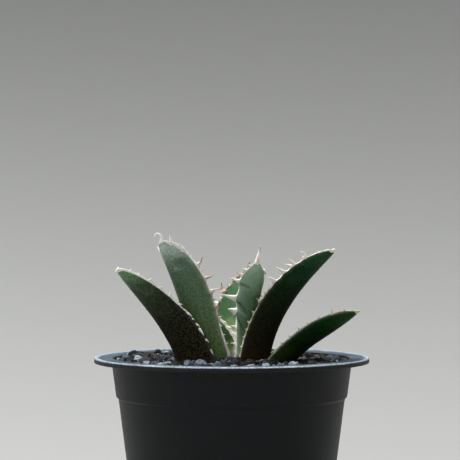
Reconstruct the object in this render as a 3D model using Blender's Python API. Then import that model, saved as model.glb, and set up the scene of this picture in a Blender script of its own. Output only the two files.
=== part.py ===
"""A young toothed agave growing in a round 12 cm nursery pot: pot, drainage layer, potting mix,
stem with roots, thirteen leaves and the larger stones lying on the mix.

The foot of the pot stands on z = 0 and its axis is the Z axis. The plant's best side faces -Y.
Leaf measurements are in millimetres and degrees; to_m turns them into metres.
"""
import math
import random

import bmesh
import bpy
from mathutils import Vector, noise

MM = 0.001
UP = Vector((0.0, 0.0, 1.0))
GAP = 0.3            # clearance between pieces that touch, mm
WELD = 1e-6          # points closer than this are one point, m

# --- pot, mm ---------------------------------------------------------------------------------
POT_HEIGHT = 98.0
LIP_RADIUS = 60.0
MOUTH_RADIUS = 51.5
WALL = 1.2
COLLAR_DEPTH = 17.0
COLLAR_STEP = 0.9    # how far the collar stands out from the wall below it
COLLAR_RUN = 1.0     # height over which the wall steps out to the collar
FOOT_RADIUS = 40.0
FOOT_HEIGHT = 3.0
FOOT_INSET = 0.9     # how far the foot ring stands in from the foot radius
FOOT_RIM = 1.7       # width of the ring that the pot stands on
FLOOR = 1.5
SKIRT_DEPTH = 2.2
DRAIN_RADIUS = 6.0
SIDE_DRAINS = 6
SIDE_DRAIN_RADIUS = 3.6
SIDE_DRAIN_CIRCLE = 25.0
POT_STEPS = 48
LIP_THICK = 1.6
LIP_OUTLINE = [      # (distance in from the outer edge, distance down from the top)
    (1.2, LIP_THICK),
    (1.2, SKIRT_DEPTH),
    (0.0, SKIRT_DEPTH),
    (0.0, 0.5),
    (0.5, 0.0),
    (1.6, 0.0),
    (2.3, 0.45),
    (3.3, 0.45),
    (3.7, 0.15),
]
MOUTH_OUTLINE = [    # (distance out from the opening, distance down from the top)
    (0.6, 0.15),
    (0.0, 0.7),
]

# --- filling, mm -----------------------------------------------------------------------------
DRAINAGE_TOP = 21.0
MIX_TOP = 97.0       # mean level of the mix under the plant
MIX_EDGE_DROP = 0.5
MIX_TILT = 0.9       # the mix lies this much lower on the right than on the left
MIX_ROUGHNESS = 0.55
MIX_SWELLS = 0.16    # broad swells of the mix, per mm
MIX_CRUMBS = 0.45    # finer unevenness, per mm
MIX_EDGE_GAP = 0.8   # clearance round the top of the mix
MIX_SHOULDER = 3.0   # depth over which the mix draws in to that clearance
MIX_STEPS = 36
MIX_RINGS = 6

# --- plant, mm -------------------------------------------------------------------------------
CROWN_X = 3.6
CROWN_Y = 2.5
STEM_RADIUS = 6.0
STEM_TOP = 96.8
STEM_FOOT = 72.0
ROOTS = 5
ROOT_RADIUS = 1.6
ROOT_STEPS = 5
ROOT_STEP = 4.8      # length of each step of a root
ROOT_TAPER = 0.84    # thickness of each step against the one before it
ROOT_FALL = 0.35     # slope of the first step
ROOT_BEND = 0.4      # how much steeper each later step is
SECTION_POINTS = 12  # points round a leaf's section
STATIONS = 17        # sections along a leaf
BACK_FULLNESS = 0.91 # 1 for an elliptical back, less for a squarer one
RELIEF = 0.35        # how far a leaf keeps clear of the ones grown before it
TOOTH_SUNK = 1.0     # how deep a tooth is rooted in the margin
TOOTH_FOLD = 0.3     # how far teeth fold in over the inner face
TOOTH_WIDTH = 0.34   # half width of a tooth's root as a share of its reach
SPINE_SUNK = 1.4     # how deep the end spine is rooted in the tip

# --- stones, mm ------------------------------------------------------------------------------
SCATTERED_STONES = 11
STONE_POINTS = 16
STONE_SPACING = 1.0
STONE_RING = (30.0, 46.0)
STONE_SIZES = [(1.7, 3.0), (1.6, 2.6), (1.2, 1.9)]
STONE_PROUD = 0.25   # how far a stone's middle lies above the mix, as a share of its half height
SOCKET_GAP = 0.4     # clearance of a stone's socket in the mix
STONE_TONES = [(0.11, 0.12, 0.13), (0.16, 0.13, 0.10), (0.38, 0.39, 0.38), (0.06, 0.055, 0.055)]


def to_m(x, y, z):
    return Vector((x * MM, y * MM, z * MM))


# --- one leaf --------------------------------------------------------------------------------
class Leaf:
    """Growth measurements of one leaf, and the curves that follow from them.

    foot: where the midrib starts; bearing: compass direction of growth, 0 towards -Y, 90 towards +X;
    swing: how far the bearing turns along the leaf; rise: angle above the horizon at foot and tip;
    rise_power: where along the leaf it bends; length, width, thick: overall size;
    foot_width: width at the foot as a share of the full width; widest: where that is reached;
    taper and blunt: shape of the outline beyond it; turn: twist about the midrib;
    right, left: the teeth of each margin, as (place along the leaf, reach, lean towards the tip);
    spine: steps of the end spine, each to the right, back and up; spine_radius: its root.
    """

    def __init__(self, name, foot, bearing, rise, length, width, thick, swing=0.0, rise_power=1.0,
                 foot_width=0.9, widest=0.35, taper=1.7, blunt=0.7, turn=0.0, channel=0.25,
                 right=(), left=(), spine=(), spine_radius=0.75):
        self.name = name
        self.foot = foot
        self.bearing = bearing
        self.rise = rise
        self.length = length
        self.width = width
        self.thick = thick
        self.swing = swing
        self.rise_power = rise_power
        self.foot_width = foot_width
        self.widest = widest
        self.taper = taper
        self.blunt = blunt
        self.turn = turn
        self.channel = channel
        self.teeth = {1.0: right, -1.0: left}
        self.spine = spine
        self.spine_radius = spine_radius

    def directions(self, s):
        """Along the midrib, across to the right-hand margin, and out of the inner face."""
        rise = math.radians(self.rise[0] + (self.rise[1] - self.rise[0]) * s ** self.rise_power)
        bearing = math.radians(self.bearing + self.swing * s)
        turn = math.radians(self.turn * s)
        level = Vector((math.sin(bearing), -math.cos(bearing), 0.0))
        along = level * math.cos(rise) + UP * math.sin(rise)
        across = Vector((math.cos(bearing), math.sin(bearing), 0.0))
        face = UP * math.cos(rise) - level * math.sin(rise)
        turned = across * math.cos(turn) + face * math.sin(turn)
        return along, turned, face * math.cos(turn) - across * math.sin(turn)

    def midrib(self, steps=80):
        """Points along the midrib, foot to tip."""
        points = [Vector(self.foot)]
        for i in range(steps):
            middle = self.directions((i + 0.5) / steps)[0]
            points.append(points[-1] + middle * (self.length / steps))
        return points

    def half_width(self, s):
        ease = min(max(s / self.widest, 0.0), 1.0)
        ease = ease * ease * (3.0 - 2.0 * ease)
        half = 0.5 * self.width * (self.foot_width + (1.0 - self.foot_width) * ease)
        if s > self.widest:
            out = ((s - self.widest) / (1.0 - self.widest)) ** self.taper
            half *= max(1.0 - out, 0.0) ** self.blunt
        return max(half, 0.25)

    def depth(self, s):
        """Thickness of the fleshy back below the midrib."""
        return max(self.thick * (1.0 - 0.65 * s) * (1.0 - s ** 6), 0.3)

    def dish(self, s):
        """How far the margins stand above the midrib of the inner face."""
        return self.channel * self.half_width(s) * (1.0 - 0.5 * s)


def point_on(midrib, s):
    place = min(max(s, 0.0), 1.0) * (len(midrib) - 1)
    low = min(int(place), len(midrib) - 2)
    return midrib[low].lerp(midrib[low + 1], place - low)


def section_point(leaf, s, angle, grow):
    """One point of the cross-section: across the leaf and out of its inner face."""
    half = leaf.half_width(s) + grow
    across = math.cos(angle)
    if math.sin(angle) >= 0.0:
        return half * across, leaf.dish(s) * across * across + grow
    drop = abs(math.sin(angle)) ** BACK_FULLNESS
    side = math.copysign(abs(across) ** BACK_FULLNESS, across)
    return half * side, leaf.dish(s) - (leaf.dish(s) + leaf.depth(s) + grow) * drop


def leaf_body(bm, leaf, grow=0.0):
    """A sphere pulled out along the midrib: one pole at the foot, the other at the tip."""
    made = bmesh.ops.create_uvsphere(bm, u_segments=SECTION_POINTS, v_segments=STATIONS, radius=1.0)
    midrib = leaf.midrib()
    for vert in made["verts"]:
        ring = round((1.0 - math.acos(max(-1.0, min(1.0, vert.co.z))) / math.pi) * STATIONS)
        s = max(ring - 1, 0) / (STATIONS - 1)
        s = 1.0 - (1.0 - s) ** 1.25
        along, across, face = leaf.directions(s)
        place = point_on(midrib, s)
        if ring == 0:
            place = place - along * grow + face * (-0.4 * leaf.depth(0.0))
        elif ring == STATIONS:
            place = place + along * grow
        else:
            out, lift = section_point(leaf, s, math.atan2(vert.co.y, vert.co.x), grow)
            if ring == 1:
                place = place - along * grow
            place = place + across * out + face * lift
        vert.co = to_m(*place)


def tapered_chain(bm, root, ways, radii, sides):
    """A horn or a root grown ring by ring: ways are its steps, radii one more than the steps."""
    first = ways[0].normalized()
    wide = first.orthogonal().normalized()
    thin = first.cross(wide)
    made = bmesh.ops.create_circle(bm, cap_ends=True, segments=sides, radius=1.0)
    face = made["verts"][0].link_faces[0]
    ring = [(v.co.x, v.co.y) for v in face.verts]
    start = list(face.verts)
    for vert, (a, b) in zip(start, ring):
        vert.co = to_m(*(root + (wide * a + thin * b) * radii[0]))
    here = root
    for way, radius in zip(ways, radii[1:]):
        face = bmesh.ops.extrude_discrete_faces(bm, faces=[face])["faces"][0]
        here = here + way
        turned = first.rotation_difference(way.normalized())
        for vert, (a, b) in zip(face.verts, ring):
            vert.co = to_m(*(here + (turned @ (wide * a + thin * b)) * radius))
    bmesh.ops.contextual_create(bm, geom=start)
    if radii[-1] == 0.0:
        bmesh.ops.pointmerge(bm, verts=list(face.verts), merge_co=to_m(*here))


def leaf_tooth(bm, leaf, midrib, side, tooth, grow):
    """One marginal tooth, a sharp four-sided cone."""
    place, reach, lean = tooth
    along, across, face = leaf.directions(place)
    tilt = math.radians(lean)
    margin = across * (side * (leaf.half_width(place) - TOOTH_SUNK)) + face * leaf.dish(place)
    way = across * (side * math.cos(tilt)) + along * math.sin(tilt) + face * TOOTH_FOLD
    step = way.normalized() * (reach + TOOTH_SUNK + grow)
    tapered_chain(bm, point_on(midrib, place) + margin, [step], [TOOTH_WIDTH * reach + 0.15 + grow, grow], 4)


def end_spine(bm, leaf, midrib, grow):
    """The spine that ends the leaf, straight or curled."""
    ways = [Vector(step) for step in leaf.spine]
    sunk = ways[0].normalized() * SPINE_SUNK
    count = len(ways)
    radii = [leaf.spine_radius * (1.0 - i / count) + grow for i in range(count + 1)]
    tapered_chain(bm, point_on(midrib, 1.0) - sunk, [sunk] + ways, [leaf.spine_radius + grow] + radii, 6)


def leaf_horn(bm, leaf, grow=0.0):
    """Teeth along both margins and the end spine."""
    midrib = leaf.midrib()
    for side, teeth in leaf.teeth.items():
        for tooth in teeth:
            leaf_tooth(bm, leaf, midrib, side, tooth, grow)
    end_spine(bm, leaf, midrib, grow)


# --- mesh helpers ----------------------------------------------------------------------------
def finish(bm, name):
    """Makes the object and removes the working mesh."""
    bmesh.ops.recalc_face_normals(bm, faces=bm.faces)
    mesh = bpy.data.meshes.new(name)
    bm.to_mesh(mesh)
    bm.free()
    obj = bpy.data.objects.new(name, mesh)
    bpy.context.scene.collection.objects.link(obj)
    return obj


def helper(obj):
    obj.hide_render = True
    obj.display_type = "WIRE"
    return obj


def combine(target, tool, operation, self_crossing=False):
    """Applies one exact Boolean and keeps the result as plain mesh. self_crossing: the tool is made
    of bodies that run through each other."""
    step = target.modifiers.new(operation.lower(), "BOOLEAN")
    step.operation = operation
    step.solver = "EXACT"
    step.use_self = self_crossing
    step.object = tool
    graph = bpy.context.evaluated_depsgraph_get()
    result = bpy.data.meshes.new_from_object(target.evaluated_get(graph))
    target.modifiers.remove(step)
    old = target.data
    target.data = result
    bpy.data.meshes.remove(old)


def discard(obj):
    mesh = obj.data
    bpy.data.objects.remove(obj)
    bpy.data.meshes.remove(mesh)


def largest_shell(obj):
    """Drops the crumbs that a cut may leave beside the main body."""
    bm = bmesh.new()
    bm.from_mesh(obj.data)
    bmesh.ops.remove_doubles(bm, verts=bm.verts, dist=WELD)
    left = set(bm.verts)
    shells = []
    while left:
        queue = [left.pop()]
        shell = set(queue)
        while queue:
            vert = queue.pop()
            for edge in vert.link_edges:
                other = edge.other_vert(vert)
                if other in left:
                    left.discard(other)
                    shell.add(other)
                    queue.append(other)
        shells.append(shell)
    keep = max(shells, key=len)
    bmesh.ops.delete(bm, geom=[v for v in bm.verts if v not in keep], context="VERTS")
    bm.to_mesh(obj.data)
    bm.free()


def paint(obj, colour, roughness, metallic=0.0, smooth_angle=40.0):
    material = bpy.data.materials.new(obj.name)
    material.use_nodes = True
    shader = material.node_tree.nodes["Principled BSDF"]
    shader.inputs["Base Color"].default_value = (*colour, 1.0)
    shader.inputs["Roughness"].default_value = roughness
    shader.inputs["Metallic"].default_value = metallic
    material.diffuse_color = (*colour, 1.0)
    obj.data.materials.clear()
    obj.data.materials.append(material)
    obj.data.shade_smooth()
    obj.data.set_sharp_from_angle(angle=math.radians(smooth_angle))


# --- pot and filling -------------------------------------------------------------------------
def lathe(bm, profile, steps):
    """Turns a closed outline of (radius, height) pairs about the Z axis."""
    ring = [bm.verts.new(to_m(r, 0.0, z)) for r, z in profile]
    edges = [bm.edges.new((ring[i], ring[(i + 1) % len(ring)])) for i in range(len(ring))]
    bmesh.ops.spin(bm, geom=ring + edges, cent=(0, 0, 0), axis=(0, 0, 1), angle=math.tau,
                   steps=steps, use_merge=True, use_duplicate=False)
    bmesh.ops.remove_doubles(bm, verts=bm.verts, dist=WELD)


def wall_radius(z):
    """Inner radius of the pot wall at height z, below and above the collar step."""
    share = (z - FOOT_HEIGHT) / (POT_HEIGHT - FOOT_HEIGHT)
    radius = (FOOT_RADIUS - WALL) + (MOUTH_RADIUS - FOOT_RADIUS + WALL) * share
    return radius if z >= POT_HEIGHT - COLLAR_DEPTH else radius - COLLAR_STEP


def pot_outline():
    """The closed outline of the pot's wall, floor, collar and lip, as (radius, height)."""
    top = POT_HEIGHT
    step = POT_HEIGHT - COLLAR_DEPTH
    floor = FOOT_HEIGHT + FLOOR
    foot_outer = FOOT_RADIUS - FOOT_INSET
    below = step - COLLAR_RUN
    outline = [
        (foot_outer - FOOT_RIM, 0.0),
        (foot_outer, 0.0),
        (wall_radius(below) + WALL, below),
        (wall_radius(step) + WALL, step),
        (wall_radius(top - LIP_THICK) + WALL, top - LIP_THICK),
    ]
    outline += [(LIP_RADIUS - back, top - down) for back, down in LIP_OUTLINE]
    outline += [(MOUTH_RADIUS + out, top - down) for out, down in MOUTH_OUTLINE]
    outline += [
        (wall_radius(step), step),
        (wall_radius(below), below),
        (wall_radius(floor), floor),
        (DRAIN_RADIUS, floor),
        (DRAIN_RADIUS, FOOT_HEIGHT),
        (foot_outer - FOOT_RIM, FOOT_HEIGHT),
    ]
    return outline


def drain_cutter():
    """Six rods that open the side drains of the floor."""
    bm = bmesh.new()
    for i in range(SIDE_DRAINS):
        turn = math.tau * i / SIDE_DRAINS
        made = bmesh.ops.create_cone(bm, cap_ends=True, segments=12, radius1=SIDE_DRAIN_RADIUS * MM,
                                     radius2=SIDE_DRAIN_RADIUS * MM, depth=4.0 * FLOOR * MM)
        place = to_m(SIDE_DRAIN_CIRCLE * math.cos(turn), SIDE_DRAIN_CIRCLE * math.sin(turn),
                     FOOT_HEIGHT + FLOOR * 0.5)
        bmesh.ops.translate(bm, vec=place, verts=made["verts"])
    return helper(finish(bm, "drain_cutter"))


def build_pot():
    bm = bmesh.new()
    lathe(bm, pot_outline(), POT_STEPS)
    pot = finish(bm, "pot")
    drains = drain_cutter()
    combine(pot, drains, "DIFFERENCE")
    discard(drains)
    paint(pot, (0.012, 0.013, 0.014), 0.55, smooth_angle=30.0)


def build_drainage():
    """Coarse pumice over the drain holes, as one settled layer."""
    low = FOOT_HEIGHT + FLOOR + GAP
    high = DRAINAGE_TOP - GAP
    profile = [(0.0, low), (wall_radius(low) - GAP, low), (wall_radius(high) - GAP, high), (0.0, high)]
    bm = bmesh.new()
    lathe(bm, profile, MIX_STEPS)
    layer = finish(bm, "drainage_layer")
    paint(layer, (0.35, 0.33, 0.29), 0.95)


def mix_level(x, y):
    """Height of the surface of the mix at a place in the pot."""
    radius = math.hypot(x, y) / MOUTH_RADIUS
    rough = noise.noise(Vector((x * MIX_SWELLS, y * MIX_SWELLS, 3.0))) * MIX_ROUGHNESS
    rough += noise.noise(Vector((x * MIX_CRUMBS, y * MIX_CRUMBS, 9.0))) * MIX_ROUGHNESS * 0.6
    return MIX_TOP - MIX_EDGE_DROP * radius ** 2 - MIX_TILT * 0.5 * (x / MOUTH_RADIUS + 1.0) + rough


def build_mix():
    """Potting mix from the drainage layer up to the surface under the leaves."""
    step = POT_HEIGHT - COLLAR_DEPTH
    below = step - COLLAR_RUN
    edge = wall_radius(MIX_TOP) - MIX_EDGE_GAP
    profile = [
        (0.0, DRAINAGE_TOP),
        (wall_radius(DRAINAGE_TOP) - GAP, DRAINAGE_TOP),
        (wall_radius(below) - GAP, below),
        (wall_radius(step) - GAP - COLLAR_STEP * 0.2, step + 0.4),
        (edge, MIX_TOP - MIX_SHOULDER),
        (edge, MIX_TOP),
    ]
    profile += [(edge * (1.0 - (i + 1) / MIX_RINGS), MIX_TOP) for i in range(MIX_RINGS)]
    bm = bmesh.new()
    lathe(bm, profile, MIX_STEPS)
    for vert in bm.verts:
        x, y, z = vert.co / MM
        if z > MIX_TOP - 0.5:
            vert.co.z = mix_level(x, y) * MM
    return finish(bm, "potting_mix")


# --- plant -----------------------------------------------------------------------------------
def root_thread(bm, turn, grow):
    """One thick root that hangs out from the stem's foot, steeper with every step."""
    bearing = Vector((math.cos(turn), math.sin(turn), 0.0))
    start = Vector((CROWN_X, CROWN_Y, STEM_FOOT + 3.0)) + bearing * (STEM_RADIUS * 0.3)
    falls = [ROOT_FALL + ROOT_BEND * i for i in range(ROOT_STEPS)]
    ways = [(bearing - UP * fall).normalized() * ROOT_STEP for fall in falls]
    radii = [ROOT_RADIUS * ROOT_TAPER ** i + grow for i in range(ROOT_STEPS + 1)]
    tapered_chain(bm, start, ways, radii, 5)


def stem_mesh(bm, grow):
    tall = STEM_TOP - STEM_FOOT + grow
    made = bmesh.ops.create_cone(bm, cap_ends=True, segments=14, depth=tall * MM,
                                 radius1=(STEM_RADIUS * 0.8 + grow) * MM,
                                 radius2=(STEM_RADIUS + grow) * MM)
    lift = to_m(CROWN_X, CROWN_Y, (STEM_TOP + STEM_FOOT) * 0.5 + grow * 0.5)
    bmesh.ops.translate(bm, vec=lift, verts=made["verts"])


def build_stem(grow=0.0):
    """The short stem that carries the leaves, with its thick roots."""
    bm = bmesh.new()
    stem_mesh(bm, grow)
    stem = finish(bm, "stem_cutter" if grow else "stem_and_roots")
    for i in range(ROOTS):
        bm = bmesh.new()
        root_thread(bm, math.tau * (i + 0.3) / ROOTS, grow)
        root = helper(finish(bm, "root_tool"))
        combine(stem, root, "UNION")
        discard(root)
    if grow:
        helper(stem)
    else:
        paint(stem, (0.32, 0.23, 0.13), 0.8)
    return stem


def grown_leaf(leaf, grow):
    """The leaf with its teeth and spine as one solid, or the same grown outwards as a cutter."""
    bm = bmesh.new()
    leaf_body(bm, leaf, grow)
    body = finish(bm, leaf.name + "_cutter" if grow else leaf.name)
    bm = bmesh.new()
    leaf_horn(bm, leaf, grow)
    teeth = helper(finish(bm, "teeth_tool"))
    combine(body, teeth, "UNION", self_crossing=True)
    discard(teeth)
    return helper(body) if grow else body


def even_teeth(places, reach):
    """Teeth that all lean back a little, longest above the middle of the leaf."""
    return [(s, reach * (0.55 + 0.45 * math.sin(math.pi * min(s * 1.15, 1.0))), -17.0) for s in places]


def straight_spine(reach, way):
    return [Vector(way).normalized() * reach]


FAR_TEETH = (0.35, 0.5, 0.65, 0.8, 0.92)

LEAVES = [
    Leaf("leaf_low_left", (-13.8, -10.0, 94.0), -58.0, (75.0, 31.0), 59.4, 19.8, 8.6, swing=-4.4,
         rise_power=0.6, foot_width=1.05, widest=0.17, taper=1.83, blunt=0.5, turn=20.0,
         right=[(0.13, 1.9, -40.0), (0.29, 2.5, -45.0), (0.44, 2.2, -45.0), (0.61, 1.4, 45.0),
                (0.79, 0.9, 0.0)],
         left=even_teeth((0.25, 0.38, 0.51, 0.64, 0.77, 0.89), 1.3),
         spine=straight_spine(1.2, (0.5, 0.2, 1.0)), spine_radius=0.6),
    Leaf("leaf_low_right", (17.9, -5.0, 94.0), 70.0, (52.8, 20.6), 46.4, 17.4, 5.7, swing=-2.0,
         rise_power=0.6, foot_width=0.95, widest=0.6, taper=1.25, blunt=0.63, turn=-23.5,
         right=even_teeth((0.2, 0.34, 0.48, 0.62, 0.76, 0.9), 1.1),
         left=[(0.26, 1.0, 0.0), (0.47, 1.3, 0.0), (0.79, 1.5, 20.0)],
         spine=straight_spine(0.6, (1.0, -0.3, 0.5))),
    Leaf("leaf_arching_right", (9.6, -7.0, 94.8), 46.0, (88.0, 24.8), 69.2, 15.0, 6.5, swing=5.0,
         rise_power=0.63, foot_width=1.0, widest=0.38, taper=1.96, blunt=0.5, turn=-19.0,
         right=even_teeth((0.2, 0.3, 0.4, 0.5, 0.6, 0.7, 0.8, 0.9), 1.6),
         left=[(0.27, 1.2, 25.0), (0.42, 2.2, 30.0), (0.5, 1.5, 20.0), (0.589, 3.8, 6.0),
               (0.675, 4.0, 2.0), (0.748, 3.4, 6.0), (0.836, 3.2, 32.0)],
         spine=straight_spine(1.0, (1.0, -0.5, 0.7)), spine_radius=0.85),
    Leaf("leaf_tall_left", (-9.2, -5.0, 94.4), -38.0, (73.0, 26.5), 66.9, 15.8, 5.9, swing=6.0,
         rise_power=1.8, foot_width=1.3, widest=0.27, taper=2.4, blunt=0.55, turn=26.5,
         right=[(0.316, 1.6, 30.0), (0.39, 1.9, 36.0), (0.499, 3.4, -4.0), (0.602, 3.1, 0.0),
                (0.707, 3.5, 45.0), (0.856, 3.0, 80.0), (0.946, 3.1, 70.0)],
         left=even_teeth((0.25, 0.36, 0.47, 0.58, 0.69, 0.8, 0.91), 1.6),
         spine=[(0.13, 0.0, 1.05), (-0.08, 0.0, 1.0), (-0.46, 0.0, 0.9), (-0.76, 0.0, 0.6),
                (-0.85, 0.0, 0.08), (-0.6, 0.0, -0.55), (-0.05, 0.0, -0.8)]),
    Leaf("leaf_heart", (3.5, -1.0, 94.4), 18.0, (77.0, 53.0), 52.2, 10.4, 4.5, swing=-1.9,
         rise_power=0.56, foot_width=0.5, widest=0.8, taper=1.4, blunt=0.78, turn=2.0,
         right=[(0.5, 0.9, 0.0), (0.65, 1.0, 0.0), (0.895, 2.6, -45.0)],
         left=[(0.34, 1.8, 10.0), (0.49, 3.4, 20.0), (0.62, 5.8, 8.0), (0.79, 3.8, 8.0),
               (0.9, 2.2, 24.0)],
         spine=straight_spine(7.0, (0.24, 0.1, 1.0)), spine_radius=0.95),
    Leaf("leaf_inner_left", (1.6, 2.5, 95.8), -71.0, (76.3, 52.0), 24.0, 13.6, 4.0, swing=5.0,
         rise_power=0.9, foot_width=0.47, widest=0.41, taper=1.65, blunt=0.8, turn=3.8,
         right=even_teeth((0.3, 0.42, 0.54, 0.66, 0.78, 0.9), 1.8),
         left=even_teeth((0.35, 0.6, 0.85), 1.8), spine=straight_spine(2.4, (-0.3, 0.0, 1.0))),
    Leaf("leaf_back", (0.4, 7.0, 94.5), 149.4, (79.6, 63.0), 43.8, 22.0, 4.5,
         foot_width=0.5, widest=0.5, taper=1.6, blunt=0.8,
         right=[(0.4, 1.6, 0.0), (0.5, 1.6, 0.0), (0.594, 2.7, 16.0), (0.726, 4.2, 60.0),
                (0.868, 2.2, 20.0)],
         left=even_teeth((0.4, 0.55, 0.7, 0.85), 2.8), spine=straight_spine(4.5, (0.13, 0.1, 1.0))),
    Leaf("leaf_bud", (5.4, 3.0, 95.5), 12.0, (89.0, 86.0), 32.0, 5.2, 2.6,
         foot_width=0.8, widest=0.3, taper=1.5, blunt=0.8, channel=0.5,
         right=even_teeth((0.6, 0.8), 1.4), left=even_teeth((0.7,), 1.4),
         spine=straight_spine(3.5, (0.0, 0.0, 1.0)), spine_radius=0.6),
    Leaf("leaf_back_right", (9.0, 8.0, 94.4), 128.0, (68.0, 47.0), 43.0, 14.0, 5.5,
         right=even_teeth(FAR_TEETH, 2.2), left=even_teeth(FAR_TEETH, 2.2),
         spine=straight_spine(3.4, (0.4, 0.4, 1.0))),
    Leaf("leaf_inner_right", (8.2, 2.6, 95.4), 82.0, (78.0, 62.0), 28.0, 9.5, 3.6,
         foot_width=0.6, right=even_teeth((0.5, 0.7, 0.9), 1.6), left=even_teeth((0.5, 0.7, 0.9), 1.6),
         spine=straight_spine(2.4, (0.4, 0.0, 1.0)), spine_radius=0.6),
    Leaf("leaf_back_left", (-4.6, 8.5, 94.4), -142.0, (72.0, 54.0), 41.0, 12.0, 5.5,
         right=even_teeth(FAR_TEETH, 2.2), left=even_teeth(FAR_TEETH, 2.2),
         spine=straight_spine(2.9, (-0.3, 0.3, 1.0))),
    Leaf("leaf_rear_low_left", (-12.0, 3.5, 94.2), -103.0, (58.0, 37.0), 44.0, 14.0, 6.5,
         right=even_teeth(FAR_TEETH, 1.8), left=even_teeth(FAR_TEETH, 1.8),
         spine=straight_spine(1.9, (-0.7, 0.2, 0.6))),
    Leaf("leaf_rear_low_right", (15.4, 7.0, 94.2), 106.0, (38.0, 21.0), 37.0, 12.5, 5.0,
         right=even_teeth(FAR_TEETH, 1.6), left=even_teeth(FAR_TEETH, 1.6),
         spine=straight_spine(1.9, (0.9, 0.3, 0.4))),
]


def build_leaves(stem_cutter):
    """Front leaves stay whole; each later leaf is relieved where it meets the ones before it.
    Returns the grown copies that relieve whatever comes next."""
    cutters = []
    for leaf in LEAVES:
        obj = grown_leaf(leaf, 0.0)
        combine(obj, stem_cutter, "DIFFERENCE")
        for cutter in cutters:
            combine(obj, cutter, "DIFFERENCE")
        largest_shell(obj)
        cutters.append(grown_leaf(leaf, RELIEF))
        paint(obj, (0.09, 0.16, 0.09), 0.45)
    return cutters


# --- stones ----------------------------------------------------------------------------------
def stone_points(rng, size):
    points = []
    for _ in range(STONE_POINTS):
        way = Vector((rng.gauss(0, 1), rng.gauss(0, 1), rng.gauss(0, 1))).normalized()
        points.append(Vector((way.x * size[0], way.y * size[1], way.z * size[2])))
    return points


def stone_mesh(name, points, centre, grow):
    bm = bmesh.new()
    for point in points:
        bm.verts.new(to_m(*(centre + point + point.normalized() * grow)))
    bmesh.ops.convex_hull(bm, input=bm.verts)
    spare = [v for v in bm.verts if not v.link_faces]
    bmesh.ops.delete(bm, geom=spare, context="VERTS")
    return finish(bm, name)


def stone_places(rng):
    """(x, y, half sizes) of the stones that stand proud of the mix, clear of each other."""
    fixed = [
        (7.6, -20.5, (3.0, 2.4, 1.7)),
        (12.6, -17.5, (1.5, 1.4, 1.8)),
        (-4.4, -15.0, (1.6, 1.5, 1.9)),
        (-11.2, -21.5, (1.3, 1.2, 1.3)),
        (28.6, -18.0, (1.6, 1.3, 0.9)),
        (34.6, -17.0, (2.8, 2.2, 1.4)),
        (40.6, -12.0, (2.3, 2.0, 1.7)),
        (-41.0, 23.0, (1.7, 1.5, 1.3)),
        (-27.2, 13.0, (1.8, 1.2, 2.1)),
        (-46.0, 4.5, (1.7, 1.6, 1.5)),
        (-33.4, -2.0, (2.4, 2.2, 1.9)),
    ]
    free = []
    while len(free) < SCATTERED_STONES:
        turn = rng.uniform(-0.2, math.pi + 0.2)
        reach = rng.uniform(*STONE_RING)
        x, y = reach * math.cos(turn), reach * math.sin(turn)
        size = tuple(rng.uniform(*ends) for ends in STONE_SIZES)
        if all(math.hypot(x - a, y - b) > size[0] + c[0] + STONE_SPACING for a, b, c in fixed + free):
            free.append((x, y, size))
    return fixed + free


def build_stones(mix, leaf_cutters):
    rng = random.Random(12)
    for number, (x, y, size) in enumerate(stone_places(rng), start=1):
        points = stone_points(rng, size)
        centre = Vector((x, y, mix_level(x, y) + STONE_PROUD * size[2]))
        stone = stone_mesh(f"stone_{number:02d}", points, centre, 0.0)
        for cutter in leaf_cutters:
            combine(stone, cutter, "DIFFERENCE")
        largest_shell(stone)
        socket = helper(stone_mesh("socket_cutter", points, centre, SOCKET_GAP))
        combine(mix, socket, "DIFFERENCE")
        discard(socket)
        paint(stone, STONE_TONES[number % len(STONE_TONES)], 0.9, smooth_angle=25.0)


def main():
    for obj in list(bpy.data.objects):
        bpy.data.objects.remove(obj)
    build_pot()
    build_drainage()
    mix = build_mix()
    build_stem()
    stem_cutter = build_stem(GAP)
    cutters = build_leaves(stem_cutter)
    for cutter in cutters + [stem_cutter]:
        combine(mix, cutter, "DIFFERENCE")
    build_stones(mix, cutters)
    largest_shell(mix)
    paint(mix, (0.035, 0.03, 0.026), 0.95, smooth_angle=20.0)
    for cutter in cutters + [stem_cutter]:
        discard(cutter)


main()
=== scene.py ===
"""Looks of a young toothed agave in a round 12 cm nursery pot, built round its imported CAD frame.

Measurements of the plant and pot are in millimetres and degrees; MM turns them into metres. The pot
stands on z = 0 with its axis on Z, and the plant's best side faces -Y.
"""
import math
import random
from dataclasses import dataclass

import bmesh
import bpy
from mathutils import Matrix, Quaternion, Vector, noise
from mathutils.bvhtree import BVHTree


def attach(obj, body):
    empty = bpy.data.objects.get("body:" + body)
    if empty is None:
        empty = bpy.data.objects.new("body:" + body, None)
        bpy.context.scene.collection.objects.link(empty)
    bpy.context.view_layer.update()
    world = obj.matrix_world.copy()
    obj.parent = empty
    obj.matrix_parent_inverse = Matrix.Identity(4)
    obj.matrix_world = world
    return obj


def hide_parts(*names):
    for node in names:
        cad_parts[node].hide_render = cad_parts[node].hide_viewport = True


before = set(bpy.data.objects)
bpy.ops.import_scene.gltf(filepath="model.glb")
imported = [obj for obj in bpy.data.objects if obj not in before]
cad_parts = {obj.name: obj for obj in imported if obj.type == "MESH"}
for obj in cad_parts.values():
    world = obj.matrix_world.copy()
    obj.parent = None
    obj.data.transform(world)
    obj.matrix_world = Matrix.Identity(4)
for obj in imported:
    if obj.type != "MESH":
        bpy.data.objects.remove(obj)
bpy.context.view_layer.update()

MM = 0.001
UP = Vector((0.0, 0.0, 1.0))
SIDES = (1.0, -1.0)  # right-hand and left-hand margin of a leaf

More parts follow.
